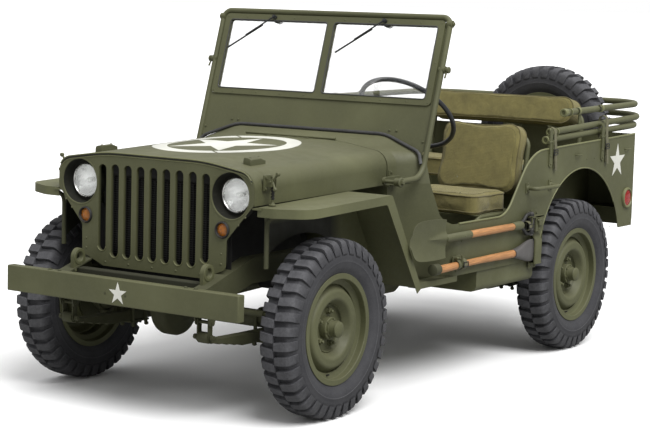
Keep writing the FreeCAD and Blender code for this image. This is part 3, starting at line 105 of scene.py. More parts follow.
class Net:
    """A material with one Principled shader, and short calls for its nodes."""

    def __init__(self, name, colour, rough, metallic=0.0, **sockets):
        self.material = bpy.data.materials.new(name)
        self.material.use_nodes = True
        self.tree = self.material.node_tree
        self.shader = self.tree.nodes["Principled BSDF"]
        sockets.update(Base_Color=colour, Roughness=rough, Metallic=metallic)
        for key, value in sockets.items():
            feed(self.tree, self.shader.inputs[key.replace("_", " ")], value)
        self.place = self.node("TexCoord", "Object")

    def node(self, kind, out, feeds=None, **settings):
        return add_node(self.tree, kind, out, feeds, **settings)

    def noise(self, scale, detail=3.0, rough=0.5, place=None, distortion=0.0):
        return self.node("TexNoise", "Fac", {"Vector": place or self.place, "Scale": scale, "Detail": detail,
                                             "Roughness": rough, "Distortion": distortion})

    def stretched(self, *scale):
        return self.node("Mapping", "Vector", {"Vector": self.place, "Scale": scale})

    def ramp(self, factor, stops):
        """Greys or colours by a factor, from (factor, value) stops."""
        node = self.tree.nodes.new("ShaderNodeValToRGB")
        self.tree.links.new(factor, node.inputs["Fac"])
        while len(node.color_ramp.elements) < len(stops):
            node.color_ramp.elements.new(0.5)
        for element, (place, value) in zip(node.color_ramp.elements, stops):
            element.position = place
            element.color = (*value, 1) if hasattr(value, "__len__") else (value, value, value, 1)
        return node.outputs["Color"]

    def mix(self, factor, a, b):
        return self.node("Mix", 2, {0: factor, 6: a, 7: b}, data_type="RGBA")

    def specks(self, noise, low, high, share, under, over):
        """One colour over another in the specks of a noise."""
        return self.mix(self.ramp(noise, [(low, 0.0), (high, share)]), under, over)

    def maths(self, operation, a, b):
        return self.node("Math", 0, {0: a, 1: b}, operation=operation)

    def between(self, axis, low, high):
        """0 at one place along an axis and 1 at the other, in millimetres of the car."""
        along = self.node("SeparateXYZ", axis, {0: self.place})
        ends = [at(*[v if a == axis else 0.0 for a in "XYZ"])["XYZ".index(axis)] for v in (low, high)]
        return self.node("MapRange", "Result", {"Value": along, "From Min": ends[0], "From Max": ends[1]})

    def up(self):
        """How far the surface faces up, 0 to 1."""
        normal = self.node("NewGeometry", "Normal")
        return self.maths("MAXIMUM", self.node("SeparateXYZ", "Z", {0: normal}), 0.0)

    def set(self, socket, value):
        self.tree.links.new(value, self.shader.inputs[socket])
        return self

    def bump(self, height, distance, strength):
        """Bump the surface, and give the material."""
        feeds = {"Height": height, "Distance": distance, "Strength": strength}
        return self.set("Normal", self.node("Bump", "Normal", feeds)).material


def times(colour, k, more=0.0):
    """A colour made lighter or darker."""
    return [c * k + more for c in colour]


def painted(name, colour, rough=0.62, dust=0.25, shadow=()):
    """Matt paint: mottled, dustier on top, scuffed here and there, dark where the ramps in shadow meet."""
    net = Net(name, colour, rough)
    light = times(colour, 1.22, 0.006)
    broad = net.ramp(net.noise(2.6, 4), [(0.32, times(colour, 0.80)), (0.55, colour), (0.75, light)])
    fine = net.specks(net.noise(85, 5, 0.65), 0.42, 0.78, 0.34, broad, light)
    dusty = [c * 0.75 + d * 0.25 for c, d in zip(light, (0.40, 0.36, 0.27))]
    drift = net.ramp(net.noise(9, 5, 0.6), [(0.3, dust * 0.5), (0.7, dust)])
    settled = net.maths("MULTIPLY", net.up(), drift)
    coat = net.mix(settled, fine, dusty)
    if shadow:
        deep = 1.0
        for axis, clear_at, dark_at in shadow:
            deep = net.maths("MULTIPLY", deep, net.between(axis, clear_at, dark_at))
        coat = net.mix(deep, coat, times(colour, 0.10))
    net.set("Base Color", coat)
    net.set("Roughness", net.ramp(net.noise(14, 5, 0.6), [(0.3, rough - 0.08), (0.75, rough + 0.12)]))
    return net.bump(net.noise(420, 2), 0.0004, 0.35)


def rubber(name, colour=(0.023, 0.023, 0.027)):
    """Worn tyre rubber with dust rubbed into it, grey on its edges with rubbed dust and painted highlight,
    and dark in its grooves with painted shade.
    """
    net = Net(name, colour, 0.78)
    dust = times(colour, 1.0, 0.034)
    base = net.specks(net.noise(7, 6, 0.65), 0.35, 0.75, 0.65, colour, dust)
    base = net.specks(net.noise(120, 4, 0.7), 0.45, 0.8, 0.5, base, dust)
    bend = net.node("NewGeometry", "Pointiness")
    # Lighter lug edges: partly rubbed dust, partly painted highlight.
    edge = net.ramp(bend, [(0.50, 0.0), (0.60, 1.0)])
    edge_dust_and_highlight = net.maths("MULTIPLY", edge, net.ramp(net.noise(60, 4, 0.7), [(0.3, 0.35), (0.7, 1.0)]))
    base = net.mix(edge_dust_and_highlight, base, times(colour, 2.2, 0.075))
    # Darker grooves: painted shade.
    groove_shade = net.ramp(bend, [(0.40, 1.0), (0.49, 0.0)])
    net.set("Base Color", net.mix(groove_shade, base, times(colour, 0.35)))
    return net.bump(net.noise(600, 4, 0.7), 0.0006, 0.6)


def canvas(name, colour=(0.182, 0.157, 0.050)):
    """Heavy cotton duck: crossed threads, mottled dye and a soft sheen."""
    net = Net(name, colour, 0.9, Sheen_Weight=0.12, Sheen_Roughness=0.6)
    feeds = {"Vector": net.stretched(1, 1, 1), "Scale": 240, "Distortion": 0.6}
    weave = net.maths("MULTIPLY", *[net.node("TexWave", "Fac", feeds, bands_direction=way)
                                    for way in ("X", "DIAGONAL")])
    light, dark = times(colour, 1.35), times(colour, 0.66)
    cloth = net.ramp(net.noise(11, 6, 0.65), [(0.28, dark), (0.52, colour), (0.78, light)])
    cloth = net.specks(net.noise(160, 4, 0.7), 0.4, 0.8, 0.45, cloth, light)
    net.set("Base Color", net.specks(weave, 0.0, 0.9, 0.35, cloth, dark))
    creases = net.noise(16, 3, 0.5, distortion=1.2)
    return net.bump(net.maths("ADD", net.maths("MULTIPLY", weave, 0.12), creases), 0.005, 0.55)


def wooden(name, colour=(0.42, 0.20, 0.075)):
    """Oiled ash: grain along x, darker where hands have been."""
    net = Net(name, colour, 0.48)
    grain = net.noise(6, 8, 0.65, net.stretched(2, 60, 60), 0.4)
    dark = times(colour, 0.55)
    wood = net.ramp(grain, [(0.30, dark), (0.48, colour), (0.68, times(colour, 1.5))])
    net.set("Base Color", net.specks(net.noise(8, 4), 0.4, 0.75, 0.4, wood, dark))
    return net.bump(grain, 0.0008, 0.4)


def metal(name, colour, rough, metallic=1.0):
    """Bare metal with smeared dirt."""
    net = Net(name, colour, rough, metallic)
    net.set("Base Color", net.specks(net.noise(30, 5, 0.65), 0.4, 0.8, 0.8, colour, times(colour, 0.55)))
    net.set("Roughness", net.ramp(net.noise(45, 4), [(0.3, rough - 0.06), (0.8, rough + 0.14)]))
    return net.bump(net.noise(300, 3), 0.0004, 0.3)


def tinted(name, colour):
    """A coloured lens."""
    net = Net(name, colour, 0.08, Transmission_Weight=0.55, IOR=1.5)
    return net.bump(net.noise(180, 2), 0.0006, 0.3)


def clear(name, colour=(0.93, 0.95, 0.94), alpha=0.22):
    """Window glass."""
    net = Net(name, colour, 0.03, Transmission_Weight=1.0, IOR=1.5, Alpha=alpha)
    smear = net.noise(5, 4, 0.6)
    return net.set("Roughness", net.ramp(smear, [(0.4, 0.02), (0.8, 0.09)])).material


olive = (0.088, 0.091, 0.040)
paint = painted("olive_paint", olive)
shadow_metal = painted("shadowed_metal", (0.010, 0.010, 0.009), 0.7, 0.03)
# Lighter olive for rolled edges, beads, collars and rings: painted highlight where the light catches them.
highlight_paint = painted("olive_painted_highlight", times(olive, 1.7), 0.5, 0.3)
# Darker olive for parts under the car and low on it: painted shade.
low_shade_paint = painted("olive_painted_low_shade", times(olive, 0.62), 0.75, 0.1)
white_paint = painted("star_white", (0.66, 0.66, 0.60), 0.6, 0.08)
black_metal = painted("black_metal", (0.018, 0.018, 0.017), 0.6, 0.12)
black_gloss = painted("black_wheel", (0.020, 0.022, 0.024), 0.38, 0.05)
tyre_rubber = rubber("tyre_rubber")
seal_rubber = rubber("seal_rubber", (0.020, 0.020, 0.020))
duck = canvas("canvas_duck")
piping_cloth = canvas("canvas_piping", (0.125, 0.106, 0.036))
webbing = canvas("canvas_webbing", (0.105, 0.100, 0.045))
ash = wooden("ash_wood")
tool_metal = painted("tool_metal", (0.085, 0.080, 0.078), 0.45, 0.2)
bright = metal("bright_metal", (0.80, 0.80, 0.78), 0.22)
reflector = metal("lamp_reflector", (0.95, 0.95, 0.94), 0.3, 0.55)
lens_glass = clear("lens_glass", (0.95, 0.97, 0.96), 0.55)
pane_glass = clear("pane_glass")
amber = tinted("amber_lens", (0.62, 0.23, 0.035))
red = tinted("red_lens", (0.52, 0.020, 0.014))

# The grille turns near black behind its face, in the slots and lamp holes: painted shade.
grille_paint_painted_shade = painted("grille_paint_painted_shade", olive, shadow=[("X", 2341.0, 2326.0)])
# The fenders' olive is lighter than the hood's, a painted highlight of the light on their tops, and turns
# near black below their tops towards the front, on the inner apron: painted shade.
fender_paint_painted_light_and_shade = painted("fender_paint_painted_light_and_shade", times(olive, 1.18),
                       shadow=[("Z", 812.0, 770.0), ("X", 1760.0, 1840.0)])
frame_shadow = painted("frame_shadow", times(olive, 0.28), 0.8, 0.05)
# Near black olive inside the headlamp buckets: painted shade in the wells.
lamp_well_painted_shade = painted("lamp_well_painted_shade", times(olive, 0.10), 0.8, 0.02)
block_wood = painted("rest_block", times(olive, 0.8), 0.7, 0.3)

by_slot = {"paint": paint, "dark_paint": black_metal, "tyre": tyre_rubber, "glass": pane_glass,
           "lamp_glass": lens_glass, "amber_glass": amber, "red_glass": red, "canvas": duck, "wood": ash,
           "black_plastic": black_gloss}
own_look = {"windshield_rests": paint, "fuel_tank": paint, "wipers": black_gloss, "grille": grille_paint_painted_shade,
            "front_fenders": fender_paint_painted_light_and_shade, "cross_members": frame_shadow, "steering_column": black_metal}
# The frame, springs, axles, knuckles, tie rod and shafts take the darker olive of painted shade.
for node_name in ("chassis_rails", "gearbox_cross_member", "leaf_springs", "front_axle", "rear_axle",
                  "steering_knuckle_left", "steering_knuckle_right", "tie_rod", "propeller_shafts"):
    own_look[node_name] = low_shade_paint


def dress_frame():
    """Give every CAD node its material."""
    for part in frame["record"]["subparts"]:
        node = frame["nodes"][part["node"]]
        look = own_look.get(part["node"], by_slot[part["material_slot"]])
        node.data.materials.clear()
        node.data.materials.append(look)


# ---------------------------------------------------------------- mesh helpers
def made_mesh(bm, name):
    """The mesh of a bmesh, which is given up."""
    mesh = bpy.data.meshes.new(name)
    bm.to_mesh(mesh)
    bm.free()
    return mesh


def piece(bm, name, look=paint, body="car", slot=None, smooth=35.0, bevel=0.0):
    """Turn a bmesh in millimetres from the rear axle into a piece that rides on a body."""
    bmesh.ops.remove_doubles(bm, verts=bm.verts, dist=1e-4)
    bmesh.ops.recalc_face_normals(bm, faces=bm.faces)
    bmesh.ops.transform(bm, matrix=Matrix.Translation(at(0, 0, 0)) @ Matrix.Scale(mm, 4), verts=bm.verts)
    return finish_object(made_mesh(bm, name), name, look, body, smooth, bevel)


def finish_object(mesh, name, look, body="car", smooth=35.0, bevel=0.0, levels=0):
    """Link a mesh as a piece with its material, bevelled, divided and shaded smooth up to an angle."""
    obj = bpy.data.objects.new(name, mesh)
    if not mesh.materials:
        mesh.materials.append(look)
    if bevel:
        m = obj.modifiers.new("bevel", "BEVEL")
        m.width = bevel * mm
        m.segments = 2
        m.limit_method = "ANGLE"
        m.angle_limit = radians(40)
    if levels:
        m = obj.modifiers.new("levels", "SUBSURF")
        m.levels = m.render_levels = levels
    mesh.shade_smooth()
    mesh.set_sharp_from_angle(angle=radians(smooth))
    return join_body(obj, body)


def join_body(obj, body):
    """Link an object and let it ride on a body."""
    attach(link(obj), body)
    return obj


def skin(bm, rings, caps=True):
    """Add the faces between closed rings of corners, and over the two ends."""
    for low, high in zip(rings, rings[1:]):
        for k in range(len(low)):
            n = (k + 1) % len(low)
            bm.faces.new([low[k], low[n], high[n], high[k]])
    if caps:
        bm.faces.new(rings[0])
        bm.faces.new(rings[-1])


def add_lathe(bm, profile, centre, direction, steps=48):
    """Add a turned shape: the profile gives (along, radius) in order."""
    axis = Vector(direction).normalized()
    side = axis.orthogonal().normalized()
    other = axis.cross(side)
    rings = []
    for along, radius in profile:
        base = Vector(centre) + axis * along
        if radius < 1e-6:
            rings.append([bm.verts.new(base)])
            continue
        rings.append([bm.verts.new(base + (side * cos(a) + other * sin(a)) * radius)
                      for a in turns(steps)])
    wrap_rings(bm, rings, steps)


def wrap_rings(bm, rings, steps):
    """Add the faces between rings, of which some are one point."""
    for low, high in zip(rings, rings[1:]):
        for i in range(steps):
            j = (i + 1) % steps
            loop = [low[i % len(low)], low[j % len(low)], high[j % len(high)], high[i % len(high)]]
            loop = list(dict.fromkeys(loop))
            if len(loop) > 2:
                bm.faces.new(loop)


def add_knob(bm, profile, centre, direction, steps=48):
    """Add a turned shape with flat ends."""
    add_lathe(bm, [(profile[0][0], 0), *profile, (profile[-1][0], 0)], centre, direction, steps)


def turned(name, profile, centre, direction, steps, look=paint, **more):
    """A piece of one turned shape."""
    bm = bmesh.new()
    add_lathe(bm, profile, centre, direction, steps)
    return piece(bm, name, look, **more)


def add_box(bm, a, b):
    """Add a block between two opposite corners."""
    low, high = Vector(map(min, a, b)), Vector(map(max, a, b))
    matrix = Matrix.Translation((high + low) / 2) @ Matrix.Diagonal((*(high - low), 1))
    bmesh.ops.create_cube(bm, size=1, matrix=matrix)


def add_rod(bm, a, b, r, steps=16):
    """Add a plain round rod."""
    length = (Vector(b) - Vector(a)).length
    add_knob(bm, [(0, r), (length, r)], a, Vector(b) - Vector(a), steps)


def add_bolt(bm, centre, direction, r, high=4.0):
    """Add a domed washer with a hexagon head."""
    add_knob(bm, [(0, r * 1.5), (1.2, r * 1.5), (1.2, r * 1.0)], centre, direction, 20)
    add_knob(bm, [(1.0, r), (high * 0.8, r), (high, r * 0.8)], centre, direction, 6)


def add_rivet(bm, centre, direction, r):
    """Add a round rivet head."""
    rings = [(0, r)] + [(r * 0.55 * sin(a), r * cos(a)) for a in (0.5, 1.0)] + [(r * 0.55, 0)]
    add_lathe(bm, rings, centre, direction, 12)


def rounded(points, closed=False, steps=6):
    """Points of a path whose corners are rounded. Each row is a point with its corner's radius last."""
    out = []
    n = len(points)
    for i, (*p, r) in enumerate(points):
        p = Vector(p)
        if not closed and i in (0, n - 1) or r <= 0:
            out.append(p)
            continue
        a, b = Vector(points[i - 1][:-1]) - p, Vector(points[(i + 1) % n][:-1]) - p
        angle = a.angle(b)
        reach = min(r / tan(angle / 2), a.length * 0.499, b.length * 0.499)
        a, b = a.normalized(), b.normalized()
        r = reach * tan(angle / 2)
        centre = p + (a + b).normalized() * (r / sin(angle / 2))
        start, end = p + a * reach - centre, p + b * reach - centre
        sweep = start.angle(end)
        for k in range(steps + 1):
            t = k / steps
            out.append(centre + (start * sin((1 - t) * sweep) + end * sin(t * sweep)) / sin(sweep))
    return out


def bead(name, points, r, look=paint, body="car", closed=False, steps=4):
    """A rolled edge, pipe or wire through points in millimetres."""
    curve = bpy.data.curves.new(name, "CURVE")
    curve.dimensions = "3D"
    curve.bevel_depth = r * mm
    curve.bevel_resolution = steps
    curve.use_fill_caps = True
    spline = curve.splines.new("POLY")
    spline.points.add(len(points) - 1)
    for p, q in zip(spline.points, points):
        p.co = (*at(*q), 1)
    spline.use_cyclic_u = closed
    spline.use_smooth = True
    curve.materials.append(look)
    return join_body(bpy.data.objects.new(name, curve), body)


def add_rivets(name, spots, direction, r, body="car"):
    """A piece of equal rivets."""
    bm = bmesh.new()
    for spot in spots:
        add_rivet(bm, spot, direction, r)
    piece(bm, name, body=body, smooth=50)


def surface_of(node):
    """Search tree of a CAD node's surface."""
    mesh = frame["nodes"][node].data
    return BVHTree.FromPolygons([v.co for v in mesh.vertices], [p.vertices for p in mesh.polygons])


def lay_on(bm, node, way, lift=0.8):
    """Drop each vertex along a direction on to a CAD node's surface, then give the sheet thickness."""
    tree = surface_of(node)
    way = Vector(way).normalized()
    base = at(0, 0, 0)
    for v in bm.verts:
        hit = tree.ray_cast(at(*v.co) - way * 0.6, way, 2.0)[0]
        if hit is not None:
            v.co = (hit - base) / mm - way * lift
    made = bmesh.ops.extrude_face_region(bm, geom=bm.faces[:])
    for v in made["geom"]:
        if isinstance(v, bmesh.types.BMVert):
            v.co += way * (lift + 0.4)


def add_polygon(bm, points, cuts=0):
    """Add a flat fan from the middle of the points, cut finer."""
    middle_point = sum((Vector(p) for p in points), Vector()) / len(points)
    centre = bm.verts.new(middle_point)
    rim = [bm.verts.new(p) for p in points]
    faces = [bm.faces.new([centre, a, b]) for a, b in zip(rim, rim[1:] + rim[:1])]
    if cuts:
        bmesh.ops.subdivide_edges(bm, edges=list({e for f in faces for e in f.edges}), cuts=cuts,
                                  use_grid_fill=True)


def star_points(r, turn, inner=0.382):
    """Ten corners of a five-pointed star."""
    corners = [(r * (1, inner)[i % 2], turn + pi * i / 5) for i in range(10)]
    return [(k * cos(a), k * sin(a)) for k, a in corners]


def both(y_values):
    """The same distances on both sides."""
    return [s * y for y in y_values for s in (1, -1)]


# ---------------------------------------------------------------- tyres
wheels = [(corner, corner + "_wheel", (0, 1 if "left" in corner else -1, 0))
          for corner in ("front_left", "front_right", "rear_left", "rear_right")]
wheels.append(("spare", "car", (-1, 0, 0)))
lugs = 38
lug_section = [  # distance from the middle, radius of the lug's top, depth of its foot
    (2.0, 355.8, 17.0), (30.0, 355.2, 17.0), (54.0, 352.5, 17.0), (66.0, 347.0, 18.0),
    (73.0, 334.0, 15.0), (77.0, 318.0, 9.0), (79.0, 303.0, 4.0), (78.6, 297.0, 1.5),
]
tyre_section = [  # distance from the middle, radius
    (56.0, 212.0), (58.5, 223.0), (66.0, 233.0), (73.0, 248.0), (76.4, 265.0), (76.8, 268.0), (77.4, 268.5),
    (77.6, 272.0), (77.2, 273.0), (77.2, 285.0), (75.0, 300.0), (70.0, 315.0), (64.0, 327.0),
    (57.0, 335.5), (46.0, 339.0), (28.0, 339.5), (0.0, 340.0),
]


def tyre_mesh():
    """One tyre in millimetres, its axle along y: a turned carcass with two rows of cross bars."""
    bm = bmesh.new()
    profile = [(w, r) for w, r in tyre_section] + [(-w, r) for w, r in reversed(tyre_section[:-1])]
    profile += [(-50.0, 206.0), (50.0, 206.0), tyre_section[0]]
    add_lathe(bm, profile, (0, 0, 0), LEFT, 144)
    pitch = 2 * pi / lugs
    for side, _ in sides:
        for i in range(lugs):
            start = pitch * (i + (0.5 if side > 0 else 0.0))
            rows = []
            for k, (w, top, foot) in enumerate(lug_section):
                slant = 0.10 * pitch * (w / 60.0)
                half = pitch * (0.29 if k else 0.26) + (0.02 * pitch if k > 3 else 0)
                line, wide = start + slant, half + 0.035 * pitch
                rows.append([bm.verts.new((r * cos(a), side * w, r * sin(a))) for r, a in
                             ((top - foot, line - wide), (top - foot, line + wide), (top, line + half),
                              (top, line - half))])
            skin(bm, rows)
    return bm


def make_tyres():
    """Five tyres that stand for the CAD's plain ones."""
    base = tyre_mesh()
    bmesh.ops.recalc_face_normals(base, faces=base.faces)
    bmesh.ops.scale(base, vec=(mm, mm, mm), verts=base.verts)
    mesh = made_mesh(base, "treaded_tyre")
    for corner, body, _ in wheels:
        node = corner + "_tyre"
        own = mesh.copy()
        turn = Matrix.Rotation(pi / 2, 4, "Z") if corner == "spare" else Matrix()
        own.transform(Matrix.Translation(middle(node)) @ turn)
        obj = finish_object(own, "treaded_" + node, tyre_rubber, body, smooth=40, bevel=1.6)
        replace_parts(obj, node)


# ---------------------------------------------------------------- wheels
def wheel_details():
    """Nuts, hub cap flange, valve and rim lines on the five rims."""
    for corner, body, out in wheels:
        centre = (middle(corner + "_tyre") - at(0, 0, 0)) / mm
        out = Vector(out)
        side = out.orthogonal().normalized()
        other = out.cross(side)
        bm = bmesh.new()

        def around(r, a, along):
            return centre + (side * cos(a) + other * sin(a)) * r + out * along
        for a in turns(5, 0.3):
            foot = around(68, a, 0.0)
            add_knob(bm, [(-1, 15), (2, 15), (6, 12.5)], foot, out, 20)
            add_knob(bm, [(5, 12.0), (15, 12.0), (18, 9.5)], foot, out, 6)
            add_knob(bm, [(16, 6.2), (25, 6.2), (27, 4.5)], foot, out, 14)
        if corner == "spare":
            add_knob(bm, [(2, 42), (7, 42), (10, 38)], centre, out, 32)
        else:
            for a in turns(6):
                add_bolt(bm, around(39.2, a, 29.5), out, 4.6, 5)
            cap = [(58, 0), (58, 31), (61.5, 32.5), (66, 31), (70, 24), (73, 12), (73.5, 0)]
            add_lathe(bm, cap, centre, out, 40)
            add_lathe(bm, [(28, 33.5), (28, 35.4), (36, 35.4), (37, 33.5)], centre, out, 40)
        for r, along in ((171.0, 17.2), (92.0, 17.0)):
            rise = ((-3, 0), (0, 1.6), (-1, 3.4), (-4, 4))
            add_lathe(bm, [(along + a, r + b) for a, b in rise], centre, out, 72)
        piece(bm, "hub_nuts_%s_rim" % corner, body=body, smooth=32)
        foot = around(190, 2.2, 14)
        lean = out * 0.9 - (foot - centre - out * 14).normalized() * 0.35
        stem = [(0, 0), (0, 5), (16, 4.2), (17, 3.2), (30, 3.2), (31, 2.0), (31, 0)]
        turned("valve_%s_rim" % corner, stem, foot, lean, 14, black_metal, body=body, smooth=40)


# ---------------------------------------------------------------- stars
ring_breaks = (32.0, 212.0)


def make_stars():
    """Plain white stars: a ringed one on the hood, one on each rear side, one on the bumper."""
    def star(name, node, way, r, turn, cuts, place, body="car"):
        bm = bmesh.new()
        add_polygon(bm, [place(u, v) for u, v in star_points(r, turn)], cuts)
        lay_on(bm, node, way)
        piece(bm, name, white_paint, body)
    x, y, stretch = 1820.0, -44.0, 1.22
    down = (0, 0, -1)
    star("hood_star", "hood", down, 216.0, radians(36), 7,
         lambda u, v: (x + u * stretch, y + v, 1100), "hood")
    make_ring(x, -33.0, stretch, down)
    for side, name in sides:
        star("side_star_" + name, "body_sides", (0, -side, 0), 86, 0.0, 2,
             lambda v, u: (-372 + u, side * 760, 876 + v))
    star("bumper_star", "front_bumper", (-1, 0, 0), 46, 0.0, 2, lambda v, u: (2600, u, 481 + v))


def make_ring(x, y, stretch, down, inner=229.0, outer=286.0, steps=60, bands=3):
    """The hood star's ring, broken in two places by slanted gaps."""
    bm = bmesh.new()
    breaks = [radians(a) for a in ring_breaks]
    for start, end in zip(breaks, breaks[1:] + [breaks[0] + 2 * pi]):
        rows = []
        for i in range(steps + 1):
            row = []
            for k in range(bands + 1):
                r = inner + (outer - inner) * k / bands
                a = start + 0.018 + 0.10 * (k / bands - 0.5) + (end - start - 0.036) * i / steps
                row.append(bm.verts.new((x + r * cos(a) * stretch, y + r * sin(a), 1100)))
            rows.append(row)
        for low, high in zip(rows, rows[1:]):
            for k in range(bands):
                bm.faces.new([low[k], low[k + 1], high[k + 1], high[k]])
    lay_on(bm, "hood", down)
    piece(bm, "hood_ring", white_paint, "hood")


# ---------------------------------------------------------------- lamps
lamp_y, lamp_z = 379.0, 878.0


def lens(name, look, centre, out, r, sag, edge, ribs, depth, steps=72, rings=14):
    """A lens: a domed face with pressed ribs, a straight edge and a flat back."""
    bm = bmesh.new()
    centre, out = Vector(centre), Vector(out)
    side = Vector(LEFT if abs(out.y) < 0.5 else AHEAD)
    up = out.cross(side)
    loops = [[bm.verts.new(centre + out * (edge + sag - depth * 0.8))]]
    for share in [k / rings for k in range(1, rings + 1)]:
        loop = []
        for a in turns(steps):
            u, v = r * share * cos(a), r * share * sin(a)
            rib = depth * abs(sin(pi * u / ribs)) if share < 0.93 else 0
            rib += depth * 0.8 * (abs(v) < r * 0.045)
            rise = edge + sag * (1 - share ** 2) - rib
            loop.append(bm.verts.new(centre + side * u + up * v + out * rise))
        loops.append(loop)
    loops.append([bm.verts.new(centre + (side * cos(a) + up * sin(a)) * r) for a in turns(steps)])
    wrap_rings(bm, loops, steps)
    bm.faces.new(loops[-1])
    return piece(bm, name, look, smooth=50)


def make_headlamp(side, name):
    """Bucket, opening edge, reflector, bulb, lens and rim. Gives the bucket."""
    x, y, z = centre = (2300.0, side * lamp_y, lamp_z)
    wall = [(-47, 0), (-47, 28), (-38, 52), (-20, 72), (-8, 80), (-6, 92.6), (42, 92.6), (42, 90.0), (2, 88),
            (-4, 84), (-4, 70), (-16, 70), (-32, 50), (-40, 28), (-43, 0)]
    # The bucket is in the near black of painted shade.
    bucket = turned("headlamp_bucket_" + name, wall, centre, AHEAD, 72, lamp_well_painted_shade, smooth=40)
    edge = [(42.3, 93.4), (45.2, 95.5), (46.6, 95.0), (47.0, 92.6), (46.0, 90.0), (42.3, 89.2), (42.3, 93.4)]
    turned("headlamp_opening_edge_" + name, edge, centre, AHEAD, 72, smooth=50)
    bowl = [(-42 + 0.0092 * r * r, r) for r in (9, 14, 20, 28, 36, 44, 52, 58, 62)]
    bowl += [(-5.0, 63.6)] + [(a - 1.6, r + 1.2) for a, r in reversed(bowl)]
    turned("headlamp_reflector_" + name, bowl + [bowl[0]], centre, AHEAD, 64, reflector, smooth=60)
    bulb = [(-42, 0), (-42, 8), (-28, 8), (-26, 11), (-12, 9), (-8, 5), (-7, 0)]
    turned("headlamp_bulb_" + name, bulb, centre, AHEAD, 24, bright, slot="lamp_glass", smooth=60)
    lens("headlamp_lens_" + name, lens_glass, (x - 3, y, z), AHEAD, 63.5, 13.0, 5.0, 9.0, 1.0)
    bm = bmesh.new()
    add_lathe(bm, [(-3, 62.8), (3, 62.3), (6, 63.4), (8, 66.2), (6.5, 69.5), (-1, 72), (-6, 72), (-6, 64),
                   (-3, 62.8)], centre, AHEAD, 72)
    for turn in turns(3, 0.5):
        add_rivet(bm, (x + 6, y + 68 * cos(turn), z + 68 * sin(turn)), AHEAD, 2.6)
    piece(bm, "headlamp_rim_" + name, bright, smooth=60)
    return bucket


def make_marker(side, name):
    """Case and amber lens. Gives the case."""
    x, y, z = centre = (grille_x, side * 345.0, 744.0)
    lens("marker_lens_" + name, amber, (x - 3, y, z), AHEAD, 25.4, 8.0, 2.0, 5.2, 0.7, 44, 9)
    case = [(-30, 0), (-30, 18), (-3, 24), (-3, 33.4), (4, 33.6), (9, 31.5), (10, 28.5), (3, 26), (-4, 25.5),
            (-4, 0)]
    return turned("marker_case_" + name, case, centre, AHEAD, 44, black_metal, smooth=40)


def make_side_reflector(side, name):
    """Ring and red glass on the body side. Gives the ring."""
    x, z = -491, 688
    out = (0, side, 0)
    bm = bmesh.new()
    add_knob(bm, [(0.3, 50), (6, 51), (12, 48), (13, 42), (8, 38.6), (4, 38.5)], (x, side * 700, z), out, 56)
    for a in turns(3, 0.5):
        add_rivet(bm, (x + 44 * cos(a), side * 709.4, z + 44 * sin(a)), out, 2.4)
    lens("side_reflector_" + name, red, (x, side * 704.2, z), out, 38.2, 5.0, 3.0, 6.4, 0.7, 56, 10)
    # The ring is in the lighter olive of painted highlight.
    return piece(bm, "side_reflector_ring_" + name, highlight_paint, smooth=40)


def make_rear_lamp(side, name):
    """Case with a hood, and a red lens."""
    y, z = side * 585, 640
    back = (-1, 0, 0)
    bm = bmesh.new()
    case = [(0.3, 30), (4, 30), (6, 37), (28, 37), (33, 34), (33, 28), (30, 27)]
    add_knob(bm, case, (-565.0, y, z), back, 48)
    add_box(bm, (-598, y - 30, 668), (-570, y + 30, 672))
    piece(bm, "rear_lamp_case_" + name, smooth=40)
    lens("rear_lamp_lens_" + name, red, (-594.8, y, z), back, 27, 5.0, 2.0, 6.0, 0.8, 44, 8)


def make_lamps():
    """Headlamps, markers and rear lamps in the place of the CAD's plain ones."""
    for make, node in ((make_headlamp, "headlamps"), (make_marker, "marker_lamps"),
                       (make_side_reflector, "rear_lamps"), (make_rear_lamp, None)):
        made = [make(side, name) for side, name in sides]
        if node:
            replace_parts(made[0], node)


# ---------------------------------------------------------------- hood, grille and cowl details
latch_x = 2268.0
grille_x = 2345.0
slot_pitch = 65.0


def drop(tree, x, y):
    """Height of a surface under a place, or None."""
    hit = tree.ray_cast(at(x, y, 1200), Vector((0, 0, -1)))[0]
    return hit and hit.z / mm


def grille_rim(x, out):
    """Points along the top outline of the grille, taken from the hood's front edge."""
    hood = surface_of("hood")
    spots = [(y, drop(hood, 2325, y)) for y in (-508 + 1016 * i / 72 for i in range(73))]
    return [(x, y, z - 3.0 - out) for y, z in spots if z is not None]


def make_hood_latch(side, name):
    """Plate, hook and spring on the hood, with the foot that the hook holds on the fender."""
    x, y, out = latch_x, side * 499.0, (0, side, 0)
    bm = bmesh.new()
    add_box(bm, (x - 27, y - side * 4, 902), (x + 27, y + side * 3, 962))
    for across, z in ((-19, 910), (19, 910), (-19, 954), (19, 954)):
        add_bolt(bm, (x + across, y + side * 3, z), out, 4.5, 5)
    for cheek in (x - 15, x + 11):
        add_box(bm, (cheek, y + side * 2, 918), (cheek + 4, y + side * 30, 948))
    pin = y + side * 22
    add_rod(bm, (x - 21, pin, 938), (x + 21, pin, 938), 5)
    add_rod(bm, (x, pin, 938), (x, y + side * 44, 966), 4.5)
    add_rod(bm, (x, pin, 938), (x + 11, y + side * 40, 912), 4.5)
    add_knob(bm, [(-8, 6), (-4, 8.5), (4, 8.5), (8, 6)], (x, y + side * 46, 968), AHEAD, 18)
    add_knob(bm, [(-7, 5), (-3, 8), (3, 8), (7, 5)], (x + 12, y + side * 42, 910), AHEAD, 18)
    piece(bm, "hood_latch_" + name, body="hood", bevel=0.8)
    coil, turn = 6.2, 1.9
    wire = [(x + coil * cos(t * turn), y + side * (24 + coil * sin(t * turn)), 930 - t * 1.05)
            for t in range(58)]
    bead("hood_spring_" + name, wire, 1.7, black_metal, "hood", steps=2)
    bm = bmesh.new()
    foot = side * 522
    add_rod(bm, (x, foot, 869), (x, foot, 850.5), 4.2)
    add_knob(bm, [(0, 15), (3, 15), (6, 9), (12, 7)], (x, foot, 846.6), UP, 22)
    piece(bm, "latch_foot_" + name)


